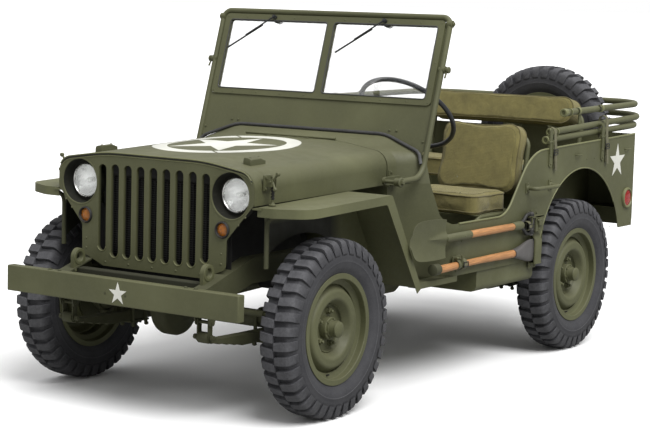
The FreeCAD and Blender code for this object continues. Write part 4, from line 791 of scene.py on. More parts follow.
def make_rest_blocks():
    """The two blocks that the folded windshield rests on."""
    bm = bmesh.new()
    hood = surface_of("hood")
    middle_x, middle_y = 2190.0, 375.0
    for side, _ in sides:
        rows = []
        for across, rise in ((-18, 0), (-17.5, 24), (-13, 27), (0, 28), (13, 27), (17.5, 24), (18, 0)):
            y = side * middle_y + across
            rows.append([bm.verts.new((middle_x + along, y, drop(hood, middle_x + along, y) - 1.5
                                       + rise * (0.6 if abs(along) > 46 else 1.0)))
                         for along in (-52, -49, -20, 0, 20, 44, 47)])
        for a, b in zip(rows, rows[1:]):
            for i in range(len(a) - 1):
                bm.faces.new((a[i], a[i + 1], b[i + 1], b[i]))
        bm.faces.new([row[0] for row in rows])
        bm.faces.new([row[-1] for row in reversed(rows)])
        bm.faces.new([*reversed(rows[0]), *rows[-1]])
        for along in (-30, 26):
            x, y = middle_x + along, side * middle_y
            add_rivet(bm, (x, y, drop(hood, x, y) + 26.4), UP, 5.5)
    blocks = piece(bm, "windshield_rest_blocks", block_wood, "hood", smooth=40, bevel=1.2)
    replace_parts(blocks, "windshield_rests")


def make_bumper():
    """The front bumper as a closed bar, and its screws and bolts."""
    bm = bmesh.new()
    add_box(bm, (2512, -580, 433), (2551.7, 580, 537))
    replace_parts(piece(bm, "front_bumper_bar", bevel=4.0), "front_bumper")
    bm = bmesh.new()
    for y in (-64, 38):
        add_knob(bm, [(-1, 7), (1.2, 6.5), (2.2, 4)], (2551, y, 478), AHEAD, 16)
    for y in both((318, 366)):
        add_bolt(bm, (2533, y, 536.6), UP, 7, 6)
    piece(bm, "bumper_screws", low_shade_paint, smooth=50)


def make_spring_fittings():
    """Eyes and shackle nuts at the springs' ends, and the U-bolts over the axles."""
    bm = bmesh.new()
    eye = [(-25, 9), (-25, 20), (-22, 22), (22, 22), (25, 20), (25, 9)]
    for centre, half in ((2032.0, 410.0), (0.0, 480.0)):
        for x in (centre - half, centre + half):
            for y in both((342.0,)):
                add_lathe(bm, eye, (x, y, 338.0), LEFT, 32)
                for out in (1, -1):
                    add_knob(bm, [(0, 13), (3, 13), (4, 11), (14, 10.5), (15, 8)], (x, y + out * 35, 338.0),
                             (0, out, 0), 6)
        rear, front, low, high = centre - 42, centre + 42, 252, 398
        for y in both((312, 372)):
            bend = rounded([(rear, y, low, 0), (rear, y, high, 41), (front, y, high, 41), (front, y, low, 0)],
                           steps=8)
            for p, q in zip(bend, bend[1:]):
                add_rod(bm, p, q, 5.5, 10)
            for x in (rear, front):
                add_knob(bm, [(0, 10), (9, 10), (10, 8)], (x, y, 264), (0, 0, -1), 6)
    piece(bm, "spring_fittings", low_shade_paint)


def make_front_edges():
    """Beads along the hood's front, the grille's rim and the feet of its slots, and the fenders' stays."""
    # The hood's front edge, the grille's rolled edge and the slots' feet are in the lighter olive of painted
    # highlight.
    bead("hood_front_edge", grille_rim(grille_x + 5.5, -1.5), 2.4, highlight_paint, "hood")
    # The lacing bead is near black, the painted shade under the hood's front edge.
    bead("grille_lacing_painted_shade", grille_rim(grille_x + 1.0, 4.5), 2.3, shadow_metal)
    bead("grille_rolled_edge", grille_rim(grille_x, 10.5), 2.6, highlight_paint)
    for i in range(9):
        y = slot_pitch * (i - 4)
        foot = 626.0 if i in (0, 8) else 604.0
        arc = [(grille_x + 0.6, y + 21.5 * cos(a), foot + 21.5 * sin(a))
               for a in (radians(188 + 164 * k / 16) for k in range(17))]
        bead("slot_edge_%d" % i, arc, 1.7, highlight_paint)
    for side, name in sides:
        post = [(2287, side * 513, 604, 0), (2287, side * 513, 800, 34), (2236, side * 600, 812, 0)]
        # The stays are in the darker olive of painted shade.
        bead("fender_stay_" + name, rounded(post, steps=8), 9.5, low_shade_paint, steps=8)


def make_radiator():
    """Baffles round the radiator, its fins and its cap."""
    bm = bmesh.new()
    for side, _ in sides:
        add_box(bm, (2292, side * 257, 560), (2296, side * 352, 790))
        add_box(bm, (2292, side * 257, 780), (2296, side * 292, 985))
    apron = ((2300, 575), (2306, 520), (2330, 506), (2420, 500), (2500, 498), (2520, 470), (2522, 446))
    add_sheet(bm, [[(x, y, z) for y in (-296, -150, 0, 150, 296)] for x, z in apron], 2.0, (0, 0, -1))
    for y in (-180, 0, 180):
        add_box(bm, (2340, y - 9, 501), (2498, y + 9, 507))
    # The baffles, the sheet under the grille and its strips are near black: painted shade behind the grille.
    piece(bm, "radiator_baffles", shadow_metal, smooth=30, bevel=0.5)
    bm = bmesh.new()
    for z in (592 + i * 9.0 for i in range(34)):
        add_box(bm, (2286, -250, z), (2294, 250, z + 2.2))
    for y in (-245 + i * 21.3 for i in range(24)):
        add_box(bm, (2285.4, y, 586), (2293, y + 2.4, 898))
    piece(bm, "radiator_fins", black_metal, smooth=30)
    turned("radiator_cap", [(0, 0), (0, 24), (10, 24), (12, 30), (18, 31), (24, 28), (26, 12), (26, 0)],
           (2255, 0, 963), UP, 32, smooth=40)


def make_front_details():
    """Latches, rivets, rest blocks, bumper, spring fittings, lifting eyes, edges and radiator."""
    for side, name in sides:
        make_hood_latch(side, name)
    add_rivets("hinge_screws_cowl", [(1400, y, 1037.2) for y in both((130, 175, 225))], UP, 4)
    add_rivets("hood_screws", [(1428, y, 1037.2) for y in (-100, -50, 0, 50, 100)], UP, 4, body="hood")
    make_rest_blocks()
    spots = [(y, z) for a, z in ((452, 800), (420, 768), (341, 650), (341, 610), (240, 562), (120, 562))
             for y in (a, -a)] + [(0, 562)]
    bm = bmesh.new()
    for y, z in spots:
        add_rivet(bm, (grille_x + 0.2, y, z), AHEAD, 4.5)
    for y in both((lamp_y,)):
        for a in turns(4, pi / 4):
            add_rivet(bm, (grille_x + 0.2, y + 105 * cos(a), lamp_z + 105 * sin(a) * 0.93), AHEAD, 3)
    piece(bm, "grille_rivets", smooth=50)
    make_bumper()
    make_spring_fittings()
    bm = bmesh.new()
    for side, _ in sides:
        y = side * 326
        for s in (-1, 1):
            ring = [(8.3 * s, 19), (8.3 * s, 33), (10.5 * s, 31), (10.5 * s, 21), (8.3 * s, 19)]
            add_lathe(bm, ring, (2412, y, 582), LEFT, 36)
        for x in (2385, 2440):
            add_bolt(bm, (x, y - side * 8.2, 530), (0, -side, 0), 7, 7)
    piece(bm, "lifting_eye_collars", smooth=40)
    make_front_edges()
    make_radiator()


def make_side_details():
    """Rolled edges, handles' feet, rivets and stowage loops."""
    rim = [(1150.0, 697.0, 0), (735.0, 697.0, 152), (512.0, 968.0, 262), (-560.0, 999.8, 0)]
    for side, name in sides:
        out = (0, side, 0)
        path = rounded([(x, side * 698.5, z, r) for x, z, r in rim], steps=14)
        # The rolled edge and the wheel arch's edge are in the lighter olive of painted highlight.
        bead("rolled_edge_" + name, path, 5.0, highlight_paint)
        arch = [(425 * cos(a), side * 698.8, 440 + 425 * sin(a))
                for a in (radians(14.2 + 131.5 * i / 48) for i in range(49))]
        bead("arch_edge_" + name, arch, 3.6, highlight_paint)
        bm = bmesh.new()
        for x in (330, 548):
            add_box(bm, (x - 17, side * 700.2, 783), (x + 17, side * 704.5, 831))
            for z in (791, 823):
                add_bolt(bm, (x, side * 704.5, z), out, 4.6, 4.5)
            add_knob(bm, [(0, 15), (4, 14), (7, 10.5)], (x, side * 704, 807), out, 24)
        piece(bm, "handle_feet_" + name, bevel=0.8)

        bm = bmesh.new()
        spots = [(1180, 900), (1150, 830), (1120, 620), (1120, 560), (-40, 905), (-120, 905)]
        for x, z in spots + [(x, 560) for x in (-545, -480, -400, -320)]:
            add_rivet(bm, (x, side * 700.2, z), out, 4.2)
        for z in range(600, 980, 75):
            add_rivet(bm, (-551, side * 700.2, z), out, 3.6)
        piece(bm, "side_rivets_" + name, smooth=50)

        for k, x in enumerate((60.0, -470.0)):
            ends = [(x - 22, 700.5, 0), (x - 22, 714, 8), (x + 22, 714, 8), (x + 22, 700.5, 0)]
            loop = rounded([(a, side * y, 930.0, r) for a, y, r in ends], steps=5)
            bead("footman_loop_%d_%s" % (k, name), loop, 3.0)


rake = radians(17.1)
foot_x, foot_z = 1253.6, 1059.0


def on(forward, left, up):
    """A place on the windshield, from the middle of its foot."""
    return (foot_x + forward * cos(rake) - up * sin(rake), left,
            foot_z + forward * sin(rake) + up * cos(rake))


def make_windshield_fittings(side, name):
    """Catches and pivots at one end of the windshield."""
    out, y = (0, side, 0), side * 601
    bm = bmesh.new()
    catch, end = on(-4, y + side * 2, 300), on(0, y, 500)
    add_knob(bm, [(-14, 16), (14, 16)], catch, out, 24)
    add_knob(bm, [(14, 9), (22, 9), (23, 14), (31, 14), (33, 10)], catch, out, 16)
    add_rod(bm, on(-4, y + side * 22, 300), on(6, y + side * 24, 262), 4.0)
    add_knob(bm, [(-12, 15.5), (12, 15.5)], end, out, 24)
    add_knob(bm, [(12, 8), (20, 7)], end, out, 12)
    piece(bm, "windshield_catch_" + name, body="windshield", bevel=0.7)
    bm = bmesh.new()
    pivot = (1490.0, side * 612.5, 889.0)
    add_knob(bm, [(0, 21), (4, 21), (7, 17)], pivot, out, 28)
    add_knob(bm, [(6, 10), (16, 10), (18, 7)], pivot, out, 6)
    piece(bm, "pivot_cap_" + name, body="windshield")
    bm = bmesh.new()
    add_box(bm, (1372, side * 498.5, 856), (1408, side * 503.5, 926))
    for z in (865, 917):
        add_bolt(bm, (1390, side * 503.5, z), out, 5, 5)
    piece(bm, "pivot_foot_" + name, bevel=0.8)


def make_windshield_foot(normal):
    """The apron under the frame, and the seal that lies on the cowl."""
    cowl = surface_of("cowl")
    panel = []
    for y in [-584 + 16 * i for i in range(74)]:
        up = 0.0
        for _ in range(3):
            z = drop(cowl, on(0, y, up)[0], y) or 1000.0
            up = max(-86.0, min(4.0, (z + 4.0 - foot_z) / cos(rake)))
        panel.append([on(0, y, u) for u in (up, up * 0.5 + 10, 24)])
    bm = bmesh.new()
    add_sheet(bm, panel, 1.6, normal)
    piece(bm, "windshield_apron", body="windshield", smooth=50)
    x = foot_x + 17.0
    spots = [(y, drop(cowl, x, y) or 985.0) for y in (-592 + 16 * i for i in range(75))]
    lip = [(x - (z - 1040) * 0.3, y, z + 8.4) for y, z in spots]
    bead("windshield_foot_seal", lip, 7.4, seal_rubber, "windshield", steps=6)


def make_windshield_details():
    """Seals, screws, hinge knobs, catches and wiper fittings on the tilting windshield."""
    normal = Vector((cos(rake), 0, sin(rake)))
    for side, name in sides:
        corners = [(side * a, up) for a, up in ((19.0, 165), (548.0, 165), (548.0, 486), (19.0, 486))]
        for k, forward in enumerate((8.0, -8.0)):
            ring = rounded([(*on(forward, y, up), 13) for y, up in corners], closed=True, steps=5)
            bead("pane_seal_%s_%d" % (name, k), ring, 2.6, seal_rubber, "windshield", closed=True)
        make_windshield_fittings(side, name)
    bm = bmesh.new()
    for y in both((70, 200, 330, 460, 566)):
        for up in (151, 500):
            add_rivet(bm, on(8.1, y, up), normal, 3.6)
    for y in both((401, 436, 576)):
        add_bolt(bm, on(1.6, y, 22 if abs(y) < 500 else -18), normal, 4.4, 4)
    for y in both((566,)):
        for up in (215, 325, 435):
            add_rivet(bm, on(8.1, y, up), normal, 3.2)
    piece(bm, "windshield_screws", body="windshield", smooth=50)
    for y, name in ((-305.0, "right"), (280.0, "left")):
        bm = bmesh.new()
        add_knob(bm, [(24.5, 6), (29, 5)], on(0, y, 500), normal, 16)
        back = Vector(on(-8.3, y, 500))
        add_knob(bm, [(0, 22), (26, 20), (30, 14)], back, -normal, 28)
        add_rod(bm, back - normal * 16, back - normal * 16 + Vector((0, 44, 0)), 7)
        piece(bm, "wiper_motor_" + name, black_gloss, "windshield", smooth=40, bevel=0.6)
    make_windshield_foot(normal)


# ---------------------------------------------------------------- bows
def make_bow_details():
    """Collars, end caps and eyes on the bows, with the straps and forks that hold them."""
    ends = ((187.0, 1131.0), (319.0, 1046.0), (356.0, 1012.0))
    end_cap = [(-26, 15.0), (-26, 17.6), (-24, 18.6), (2, 18.6), (4, 17.2), (4, 11), (1, 10), (-6, 9),
               (-6, 0)]
    for side, name in sides:
        y, out = side * 683.0, (0, side, 0)
        bm = bmesh.new()
        for x, z in ends:
            add_lathe(bm, end_cap, (x, y, z), AHEAD, 30)
            add_rivet(bm, (x - 13, y + side * 18.2, z), out, 4.4)
            add_lathe(bm, [(-2.5, 15), (-2.5, 19), (2.5, 19), (2.5, 15)], (x - 60, y, z), AHEAD, 30)
        for x in (-200, 40):
            sag = (ends[0][0] - x) * 0.017
            add_lathe(bm, [(-9, 15), (-9, 17.4), (9, 17.4), (9, 15)], (x, y, ends[0][1] + sag), AHEAD, 30)
        # The collars are in the lighter olive of painted highlight.
        piece(bm, "bow_collars_" + name, highlight_paint, smooth=40)
        bm = bmesh.new()
        for x in (340.0, -196.0):
            for dx in (-13.0, 13.0):
                add_box(bm, (x + dx - 2.2, side * 695, 952), (x + dx + 2.2, side * 709, 1014))
            add_rod(bm, (x - 20, side * 704, 1004), (x + 20, side * 704, 1004), 4.6)
            for dx in (-20, 20):
                add_knob(bm, [(-3, 8), (3, 8)], (x + dx, side * 704, 1004), AHEAD, 6)
            for z in (904, 940):
                add_bolt(bm, (x, side * 704.5, z), out, 5, 5)
        piece(bm, "bow_forks_" + name, bevel=0.8)
        strap, buckles = bmesh.new(), bmesh.new()
        for x in (300.0, -236.0):
            top = 1062 + (300 - x) * 0.062
            path = [(706, 880), (706, 985), (703.5, 1000), (702.0, top - 12), (697, top), (683, top + 6),
                    (669, top), (664, top - 14), (664, 1006), (668, 996), (680, 990)]
            for line, half, thick in ((path, 12, 2.2), ([(712, 872), (711, 900), (709, 950)], 10, 2.0)):
                add_band(strap, [(side * a, b) for a, b in line], x - half, x + half, thick * side)
            add_buckle(buckles, x, side * 711, 956, 17, 12, 2.2, 8)
            add_rod(buckles, (x - 17, side * 712, 956), (x + 17, side * 712, 956), 1.8, 8)
        piece(strap, "bow_straps_" + name, webbing, smooth=40)
        piece(buckles, "bow_buckles_" + name, black_metal, smooth=40)


# ---------------------------------------------------------------- tools
tools_y = 719.0


def add_sheet(bm, grid, thick, way):
    """A closed plate from a grid of points, thickened along a direction."""
    way = Vector(way) * thick
    front = [[bm.verts.new(Vector(p) + way) for p in row] for row in grid]
    back = [[bm.verts.new(p) for p in row] for row in grid]
    rows, cols = len(grid), len(grid[0])
    for i in range(rows - 1):
        for k in range(cols - 1):
            bm.faces.new([front[i][k], front[i][k + 1], front[i + 1][k + 1], front[i + 1][k]])
            bm.faces.new([back[i][k], back[i + 1][k], back[i + 1][k + 1], back[i][k + 1]])
    loop = [(0, k) for k in range(cols)] + [(i, cols - 1) for i in range(1, rows)]
    loop += [(rows - 1, k) for k in range(cols - 2, -1, -1)] + [(i, 0) for i in range(rows - 2, 0, -1)]
    for (i, k), (j, m) in zip(loop, loop[1:] + loop[:1]):
        bm.faces.new([front[i][k], back[i][k], back[j][m], front[j][m]])


def add_band(bm, path, x0, x1, thick):
    """A strap of some thickness along a path in the y-z plane."""
    rings = []
    for i, (y, z) in enumerate(path):
        before, after = path[max(0, i - 1)], path[min(len(path) - 1, i + 1)]
        t = Vector((0, after[0] - before[0], after[1] - before[1])).normalized()
        n = Vector((0, t.z, -t.y)) * thick
        rings.append([bm.verts.new(p) for p in
                      ((x0, y, z), (x1, y, z), (x1, y + n.y, z + n.z), (x0, y + n.y, z + n.z))])
    skin(bm, rings)


def add_buckle(bm, x, y, z, wide, high, r, steps=16):
    """A rectangular wire buckle about its middle, in the x-z plane."""
    line = rounded([(x - wide, y, z - high, 3), (x + wide, y, z - high, 3), (x + wide, y, z + high, 3),
                    (x - wide, y, z + high, 3)], closed=True, steps=3)
    for p, q in zip(line, line[1:] + line[:1]):
        add_rod(bm, p, q, r, steps)


def wrap(y, z, r, wall=700.6):
    """Path of a strap that leaves the wall, rounds a bar and comes back."""
    bend = [(y + r * cos(radians(a)), z + r * sin(radians(a))) for a in range(-90, 91, 15)]
    return [(wall, z - r - 14), (wall, z - r - 3), (wall + 3, z - r), *bend,
            (wall + 3, z + r), (wall, z + r + 3), (wall, z + r + 14)]


def make_shovel():
    """Dished blade with its frog, painted socket, ash shaft and a D grip."""
    y, z = tools_y, 648.0
    rear, front, half, mid, frog = 1286.0, 1572.0, 86.0, 656.0, 0.52
    grid = []
    for run in (i / 36 for i in range(37)):
        row = []
        end = 1 - max(0.0, (run - 0.72) / 0.28) ** 2.6
        wide = half * (0.94 + 0.06 * sin(pi * min(1.0, run * 1.2))) * max(0.10, end) ** 0.42
        for v in (-1 + k / 12 for k in range(25)):
            lean = 14.0 * abs(v) ** 2 * (1 - run) ** 6
            roof = exp(-(v / (0.25 * max(0.04, 1 - run / frog))) ** 2) if run < frog else 0.0
            out = -6.0 + 12.0 * v * v + 17.0 * roof * max(0.0, 1 - run / frog) ** 0.9
            up = mid + (z - mid) * (1 - run) * 0.8 + wide * v
            row.append((rear + (front - rear) * run + lean, y + out, up))
        grid.append(row)
    bm = bmesh.new()
    add_sheet(bm, grid, 2.6, LEFT)
    socket = [(0, 13.0), (0, 16.8), (3, 17.4), (120, 17.2), (196, 16.4), (206, 15.0), (206, 12.6),
              (190, 12.6)]
    add_lathe(bm, socket, (1086, y, z), AHEAD, 32)
    for x in (1104, 1150):
        add_rivet(bm, (x, y + 17.0, z), LEFT, 4.2)
    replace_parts(piece(bm, "shovel_blade", smooth=42, bevel=0.5), "shovel")
    turned("shovel_shaft", [(0, 0), (0, 15.2), (120, 16.0), (300, 16.2), (402, 15.6), (470, 12.4), (470, 0)],
           (690, y, z), AHEAD, 32, ash, smooth=40)
    turned("shovel_collar", [(0, 0), (0, 15.6), (5, 18.6), (34, 19.6), (74, 18.2), (84, 16.8), (84, 0)],
           (624, y, z), AHEAD, 32, smooth=40)
    for side, name in ((1, "top"), (-1, "low")):
        arm = [(640, 5, 0), (606, 20, 14), (580, 42, 16), (532, 46, 0)]
        path = rounded([(x, y, z + side * up, r) for x, up, r in arm], steps=6)
        bead("shovel_arm_" + name, path, 8.2, black_metal)
    grip = [(-52, 0), (-52, 12.4), (-49, 13), (-36, 13), (-22, 14.8)]
    grip += [(-along, r) for along, r in reversed(grip)]
    turned("shovel_grip", grip, (540, y, z), UP, 26, tool_metal, smooth=40)
    bm = bmesh.new()
    for side, _ in sides:
        add_knob(bm, [(0, 14.4), (3, 15.4), (16, 15.4), (18, 14.6)], (540, y, z + side * 37 - 9), UP, 26)
    piece(bm, "shovel_grip_caps", black_metal, smooth=40, bevel=0.5)


def make_axe():
    """Curved ash handle with a swelled knob and a flared black head."""
    y, z = tools_y, 526.0
    length_steps = 60
    bm = bmesh.new()
    rings = []
    for i in range(length_steps + 1):
        run = i / length_steps
        swell_out = max(0.0, (run - 0.90) / 0.10) ** 1.4
        wide = 14.0 + 1.2 * sin(run * 9.0) + 6.5 * swell_out - 4 * (run == 1)
        tall = 15.8 + 1.5 * sin(run * 7.0 + 1.2) + 6.0 * swell_out - 4 * (run == 1)
        centre = z + 4.0 * sin(run * 5.2) * run
        rings.append([bm.verts.new((672 + 718 * run, y + wide * cos(t), centre + tall * sin(t)))
                      for t in turns(28)])
    skin(bm, rings)
    piece(bm, "axe_handle", ash, smooth=40, bevel=1.5)
    turned("axe_knob_cap", [(0, 20.6), (0, 22.2), (3, 23.4), (40, 24.6), (44, 23.4), (46, 20), (46, 0)],
           (1345, y, z - 1), AHEAD, 32, low_shade_paint, smooth=40)
    bm = bmesh.new()
    outline = [  # place along, top, foot
        (694, 545, 508), (676, 547, 505), (655, 551, 500), (630, 557, 494), (600, 566, 487), (570, 574, 481),
        (540, 578, 477), (510, 576, 476)]
    rings = []
    for x, top, foot in outline:
        thick = 20.0 if x > 660 else 20.0 * (0.16 + 0.84 * max(0.0, (x - 505) / 160) ** 0.8)
        ring = []
        for t in turns(24):
            c, d = cos(t), sin(t)
            up = (top + foot) / 2 + (top - foot) / 2 * copysign(abs(d) ** 0.7, d)
            ring.append(bm.verts.new((x - 6 * (1 - d * d) * (x < 560), y + thick * c, up)))
        rings.append(ring)
    skin(bm, rings)
    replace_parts(piece(bm, "axe_head", tool_metal, smooth=40, bevel=1.0), "axe")


def make_tool_brackets():
    """Clamps, guard with its straps, and buckles that hold the tools."""
    y = tools_y
    bm = bmesh.new()
    for x, r, half in ((1186, 18.6, 11), (1150, 17.6, 21)):
        ring = [(-half, 16.4), (-half, r), (-half + 1.5, r + 1.6)]
        add_lathe(bm, ring + [(-along, r) for along, r in reversed(ring)], (x, y, 528), AHEAD, 32)
    add_box(bm, (1134, 700.4, 500), (1200, 706, 562))
    add_box(bm, (1142, 705, 512), (1196, 712, 545))
    add_knob(bm, [(-9, 5), (-7, 6), (7, 6), (9, 5)], (1192, y + 4, 556), AHEAD, 18)
    add_box(bm, (1186, y - 8, 545), (1198, y + 7, 558))
    add_box(bm, (1172, y + 14, 534), (1180, y + 22, 566))
    for x in (1142, 1192):
        add_bolt(bm, (x, 706, 507), LEFT, 5, 5)
    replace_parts(piece(bm, "axe_clamp", bevel=0.9), "tool_brackets")
    bm = bmesh.new()
    grid = []
    for z in (462, 470, 520, 570, 600, 604):
        out = 34.0 if z < 590 else 16.0
        rim = ((452, 0), (452, out - 4), (455, out), (507, out), (510, out - 4), (510, out - 9))
        grid.append([(x, 701 + d, z) for x, d in rim])
    add_sheet(bm, grid, 2.4, (-0.5, -0.5, 0))
    add_box(bm, (448, 700.4, 440), (514, 703.4, 706))
    add_box(bm, (452, 702, 462), (508, 736, 466))
    for z in (450, 690):
        for x in (458, 503):
            add_bolt(bm, (x, 703, z), LEFT, 5, 5)
    piece(bm, "axe_guard", bevel=0.8)
    bm = bmesh.new()
    for a, b in (((458, 700.6, 676), (566, 742, 682)), ((560, 736, 636), (566, 742, 682)),
                 ((458, 737, 612), (530, 742, 682)), ((476, 742, 640), (512, 750, 672))):
        add_box(bm, a, b)
    add_rod(bm, (470, 746, 664), (524, 746, 664), 5)
    for z in (622, 634):
        add_bolt(bm, (500, 742, z), LEFT, 4, 4)
    piece(bm, "shovel_hook", bevel=1.6)
    bm = bmesh.new()
    add_band(bm, wrap(y, 640, 19.5), 560, 586, 2.2)
    add_band(bm, wrap(y, 528, 22.0), 1136, 1164, 2.0)
    piece(bm, "tool_straps", webbing, smooth=40, bevel=0.4)
    bm = bmesh.new()
    for x, z, r in ((573, 640, 19.5), (1150, 528, 22.0)):
        add_buckle(bm, x, y + r + 2, z, 18, 10, 2.0)
    piece(bm, "strap_buckles", black_metal, smooth=40)


# ---------------------------------------------------------------- cushions
def plan_of(low, high, corner, steps):
    """A cushion's rounded outline from above."""
    return rounded([(low.x, low.y, 0, corner), (high.x, low.y, 0, corner), (high.x, high.y, 0, corner),
                    (low.x, high.y, 0, corner)], closed=True, steps=steps)


def padded_block(low, high, corner):
    """A block with rounded corners, as the start of a cushion."""
    bm = bmesh.new()
    plan = plan_of(low, high, corner, 6)
    bottom, top = ([bm.verts.new((p.x, p.y, z)) for p in plan] for z in (low.z, high.z))
    bm.faces.new(list(reversed(bottom)))
    bm.faces.new(top)
    skin(bm, [bottom, top], caps=False)
    return made_mesh(bm, "pad")


def evaluated(obj):
    """The object's mesh with its modifiers applied."""
    depsgraph = bpy.context.evaluated_depsgraph_get()
    return bpy.data.meshes.new_from_object(obj.evaluated_get(depsgraph), preserve_all_data_layers=False,
                                           depsgraph=depsgraph)


def settle(mesh, start, cap, rounds=26, keep=0.22):
    """Cap how far the cloth moved each point, and even the movement out over its neighbours."""
    rest = np.array([tuple(p) for p in start])
    now = np.array([tuple(v.co) for v in mesh.vertices])
    edges = np.array([tuple(e.vertices) for e in mesh.edges])
    count = np.zeros(len(rest))
    np.add.at(count, edges[:, 0], 1)
    np.add.at(count, edges[:, 1], 1)
    move = now - rest
    far = np.linalg.norm(move, axis=1, keepdims=True)
    move *= np.minimum(1, cap / np.maximum(far, 1e-9))
    even = move.copy()
    for _ in range(rounds):
        total = np.zeros_like(even)
        np.add.at(total, edges[:, 0], even[edges[:, 1]])
        np.add.at(total, edges[:, 1], even[edges[:, 0]])
        even = 0.5 * even + 0.5 * total / count[:, None]
    place = rest + even * (1 - keep) + move * keep
    for v, p in zip(mesh.vertices, place):
        v.co = Vector(p)


def swell(mesh, voxel, pressure, cap, floor_z):
    """Remesh a pad, blow it up as cloth, cap how far its points move, and keep its back flat."""
    obj = link(bpy.data.objects.new("pad_work", mesh))
    remesh = obj.modifiers.new("remesh", "REMESH")
    remesh.mode = "VOXEL"
    remesh.voxel_size = voxel * mm
    base = evaluated(obj)
    bpy.data.objects.remove(obj)
    start = [v.co.copy() for v in base.vertices]
    obj = link(bpy.data.objects.new("pad_work", base))
    cloth = obj.modifiers.new("cloth", "CLOTH")
    s = cloth.settings
    s.quality = 5
    s.mass = 0.3
    s.tension_stiffness = s.compression_stiffness = 24
    s.shear_stiffness = 12
    s.bending_stiffness = 0.8
    s.use_pressure = True
    s.uniform_pressure_force = pressure
    s.effector_weights.gravity = 0
    cloth.point_cache.frame_start, cloth.point_cache.frame_end = 1, 20
    for f in range(1, 21):
        bpy.context.scene.frame_set(f)
    blown = evaluated(obj)
    bpy.data.objects.remove(obj)
    bpy.context.scene.frame_set(1)
    settle(blown, start, cap * mm)
    base = blown
    for v in base.vertices:
        v.co.z = max(v.co.z, floor_z)
    return base


def make_cushion(name, low, high, corner, fill, to_car, cap=24.0, shrink=9.0):
    """A cushion in its own axes (z through its thickness), swollen, piped and set on the car."""
    inner_low = (Vector(low) + Vector((shrink, shrink, 0.5))) * mm
    inner_high = (Vector(high) - Vector((shrink, shrink, shrink))) * mm
    mesh = swell(padded_block(inner_low, inner_high, corner * mm), 7.0, 4.0, cap, inner_low.z)
    for v in mesh.vertices:
        for i in range(3):
            v.co[i] = min(max(v.co[i], low[i] * mm), high[i] * mm)
    mesh.materials.clear()
    tree = BVHTree.FromPolygons([v.co for v in mesh.vertices], [p.vertices for p in mesh.polygons])
    centre = (Vector(low) + Vector(high)) / 2 * mm
    plan = plan_of(inner_low, inner_high, corner * mm, 9)
    dense = []
    for p, q in zip(plan, plan[1:] + plan[:1]):
        parts = max(1, int((q - p).length / (14 * mm)))
        dense += [p.lerp(q, k / parts) for k in range(parts)]

    def seam_line(z, inset=0.0):
        line = []
        for p in dense:
            away = Vector((p.x - centre.x, p.y - centre.y, 0))
            start = Vector((p.x, p.y, z)) - away.normalized() * inset * mm
            line.append(tree.find_nearest(start)[0])
        return [(line[i - 1] + p * 2 + line[(i + 1) % len(line)]) / 4 for i, p in enumerate(line)]

    def on_car(p):
        return (to_car @ p - at(0, 0, 0)) / mm
    obj = finish_object(mesh, name, duck, smooth=80, levels=1)
    mesh.transform(to_car)
    for label, z in (("top", inner_high.z), ("bottom", inner_low.z + 10 * mm)):
        line = [on_car(p) for p in seam_line(z)]
        bead(name + "_piping_" + label, line, 3.3, piping_cloth, closed=True, steps=3)
    stitches = bmesh.new()
    border = seam_line(inner_high.z + 30 * mm, 22.0)
    for p, q in zip(border, border[1:] + border[:1]):
        for k in (0.0, 0.5):
            a, b = p.lerp(q, k + 0.08), p.lerp(q, k + 0.36)
            if (b - a).length < 1e-5:
                continue
            lift = tree.find_nearest(a)[1] * 0.4 * mm
            a, b = on_car(a + lift), on_car(b + lift)
            add_knob(stitches, [(0, 0.9), ((b - a).length, 0.9)], a, b - a, 5)
    piece(stitches, name + "_stitches", webbing, smooth=60)
    return obj


def seat_axes(rear, foot_z, lean, y):
    """Axes of a leaning back: x across the car, y up the lean, z forward off the tubes."""
    t = radians(lean)
    up = Vector((-sin(t), 0, cos(t)))
    ahead = Vector((cos(t), 0, sin(t)))
    across = up.cross(ahead)
    turn = Matrix((across, up, ahead)).transposed().to_4x4()
    return Matrix.Translation(at(rear, y, foot_z)) @ turn


roll_half = 429.0


def make_back(name, half, origin, foot, top, thick, fill, rear, lean, y, **more):
    """A back cushion that leans on its tubes."""
    t = cos(radians(lean))
    make_cushion(name, (-half, (foot - origin) / t, 11.4), (half, (top - origin) / t, thick), 66, fill,
                 seat_axes(rear, origin, lean, y), **more)


def make_cushions():
    """Front and rear cushions, each a swollen pad with piping and a stitched border."""
    first = None
    for side, name in ((1, "driver"), (-1, "passenger")):
        y = side * 415.0
        obj = make_cushion(name + "_seat_cushion", (563, -224, 702.8), (899, 224, 794), 52, 0.75,
                           Matrix.Translation(at(0, y, 0)))
        first = first or obj
        make_back(name + "_back_cushion", 224, 690.0, 742.3, 1085.0, 89.2, 0.7, 460.0, 11.0, y, cap=22)
    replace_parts(first, "front_seat_cushions")
    base = make_cushion("rear_seat_cushion", (-374, -roll_half, 758.4), (-60.5, roll_half, 850), 52, 0.75,
                        Matrix.Translation(at(0, 0, 0)))
    make_back("rear_back_roll", roll_half, 746.0, 1004, 1150, 115.2, 0.9, -455.0, 14.0, 0, cap=26, shrink=5)
    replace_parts(base, "rear_seat_cushions")


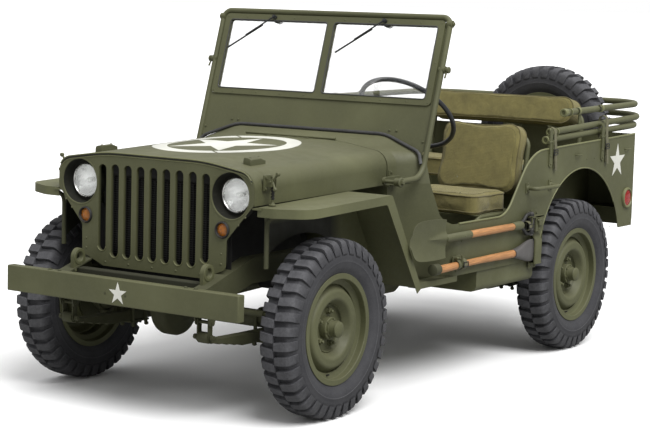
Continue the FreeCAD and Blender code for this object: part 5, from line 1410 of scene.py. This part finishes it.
# ---------------------------------------------------------------- stage, light and camera
def make_stage():
    """White floor that keeps the shadow, an even room light, and a soft high key light."""
    bm = bmesh.new()
    bmesh.ops.create_grid(bm, x_segments=1, y_segments=1, size=400)
    floor = link(bpy.data.objects.new("floor_plane", made_mesh(bm, "floor_plane")))
    look = Net("pale_floor", (0.9, 0.9, 0.9), 0.95, Specular_IOR_Level=0.0)
    seen = look.maths("MAXIMUM", look.node("LightPath", "Is Camera Ray"),
                      look.node("LightPath", "Is Transmission Ray"))
    look.set("Base Color", look.mix(seen, (0.42, 0.42, 0.41), (0.97, 0.97, 0.97)))
    floor.data.materials.append(look.material)

    world = bpy.data.worlds.new("soft_room")
    bpy.context.scene.world = world
    world.use_nodes = True
    tree = world.node_tree
    height = add_node(tree, "SeparateXYZ", "Z", {0: add_node(tree, "TexCoord", "Generated")})
    level = add_node(tree, "MapRange", "Result", {"Value": height, "From Min": -0.1, "From Max": 0.9,
                                                  "To Min": 0.18, "To Max": 0.98})
    for kind in ("Camera", "Transmission"):
        ray = add_node(tree, "LightPath", "Is %s Ray" % kind)
        level = add_node(tree, "Math", 0, {0: ray, 1: level}, operation="MAXIMUM")
    feed(tree, tree.nodes["Background"].inputs["Color"], (1, 1, 1))
    feed(tree, tree.nodes["Background"].inputs["Strength"], level)

    sun = bpy.data.lights.new("key_sun", "SUN")
    sun.energy = 2.9
    sun.angle = radians(38)
    lamp = link(bpy.data.objects.new("key_sun", sun))
    lamp.rotation_euler = Vector((-1.6, -3.6, -5.2)).to_track_quat("-Z", "Y").to_euler()


def make_camera():
    """The photograph's viewing place, direction and lens."""
    yaw, pitch, roll = (radians(a) for a in (-145.4605, -6.7560, 1.4428))
    ahead = Vector((cos(pitch) * cos(yaw), cos(pitch) * sin(yaw), sin(pitch)))
    right = ahead.cross(Vector(UP)).normalized()
    up = right.cross(ahead)
    right, up = right * cos(roll) + up * sin(roll), up * cos(roll) - right * sin(roll)
    turn = Matrix((right, up, -ahead)).transposed()
    data = bpy.data.cameras.new("photo_camera")
    data.lens = 107.2
    data.sensor_width = 36.0
    data.shift_x = 0.0361
    data.shift_y = 0.0036
    data.clip_end = 200
    camera = link(bpy.data.objects.new("photo_camera", data))
    camera.matrix_world = Matrix.Translation(at(8243.0, 4771.2, 1667.1)) @ turn.to_4x4()
    bpy.context.scene.camera = camera


def main():
    """Build the looks."""
    dress_frame()
    make_tyres()
    wheel_details()
    make_stars()
    make_lamps()
    make_front_details()
    make_side_details()
    make_windshield_details()
    make_bow_details()
    make_shovel()
    make_axe()
    make_tool_brackets()
    make_cushions()
    make_stage()
    make_camera()
    bpy.context.scene.view_settings.view_transform = "Standard"


main()
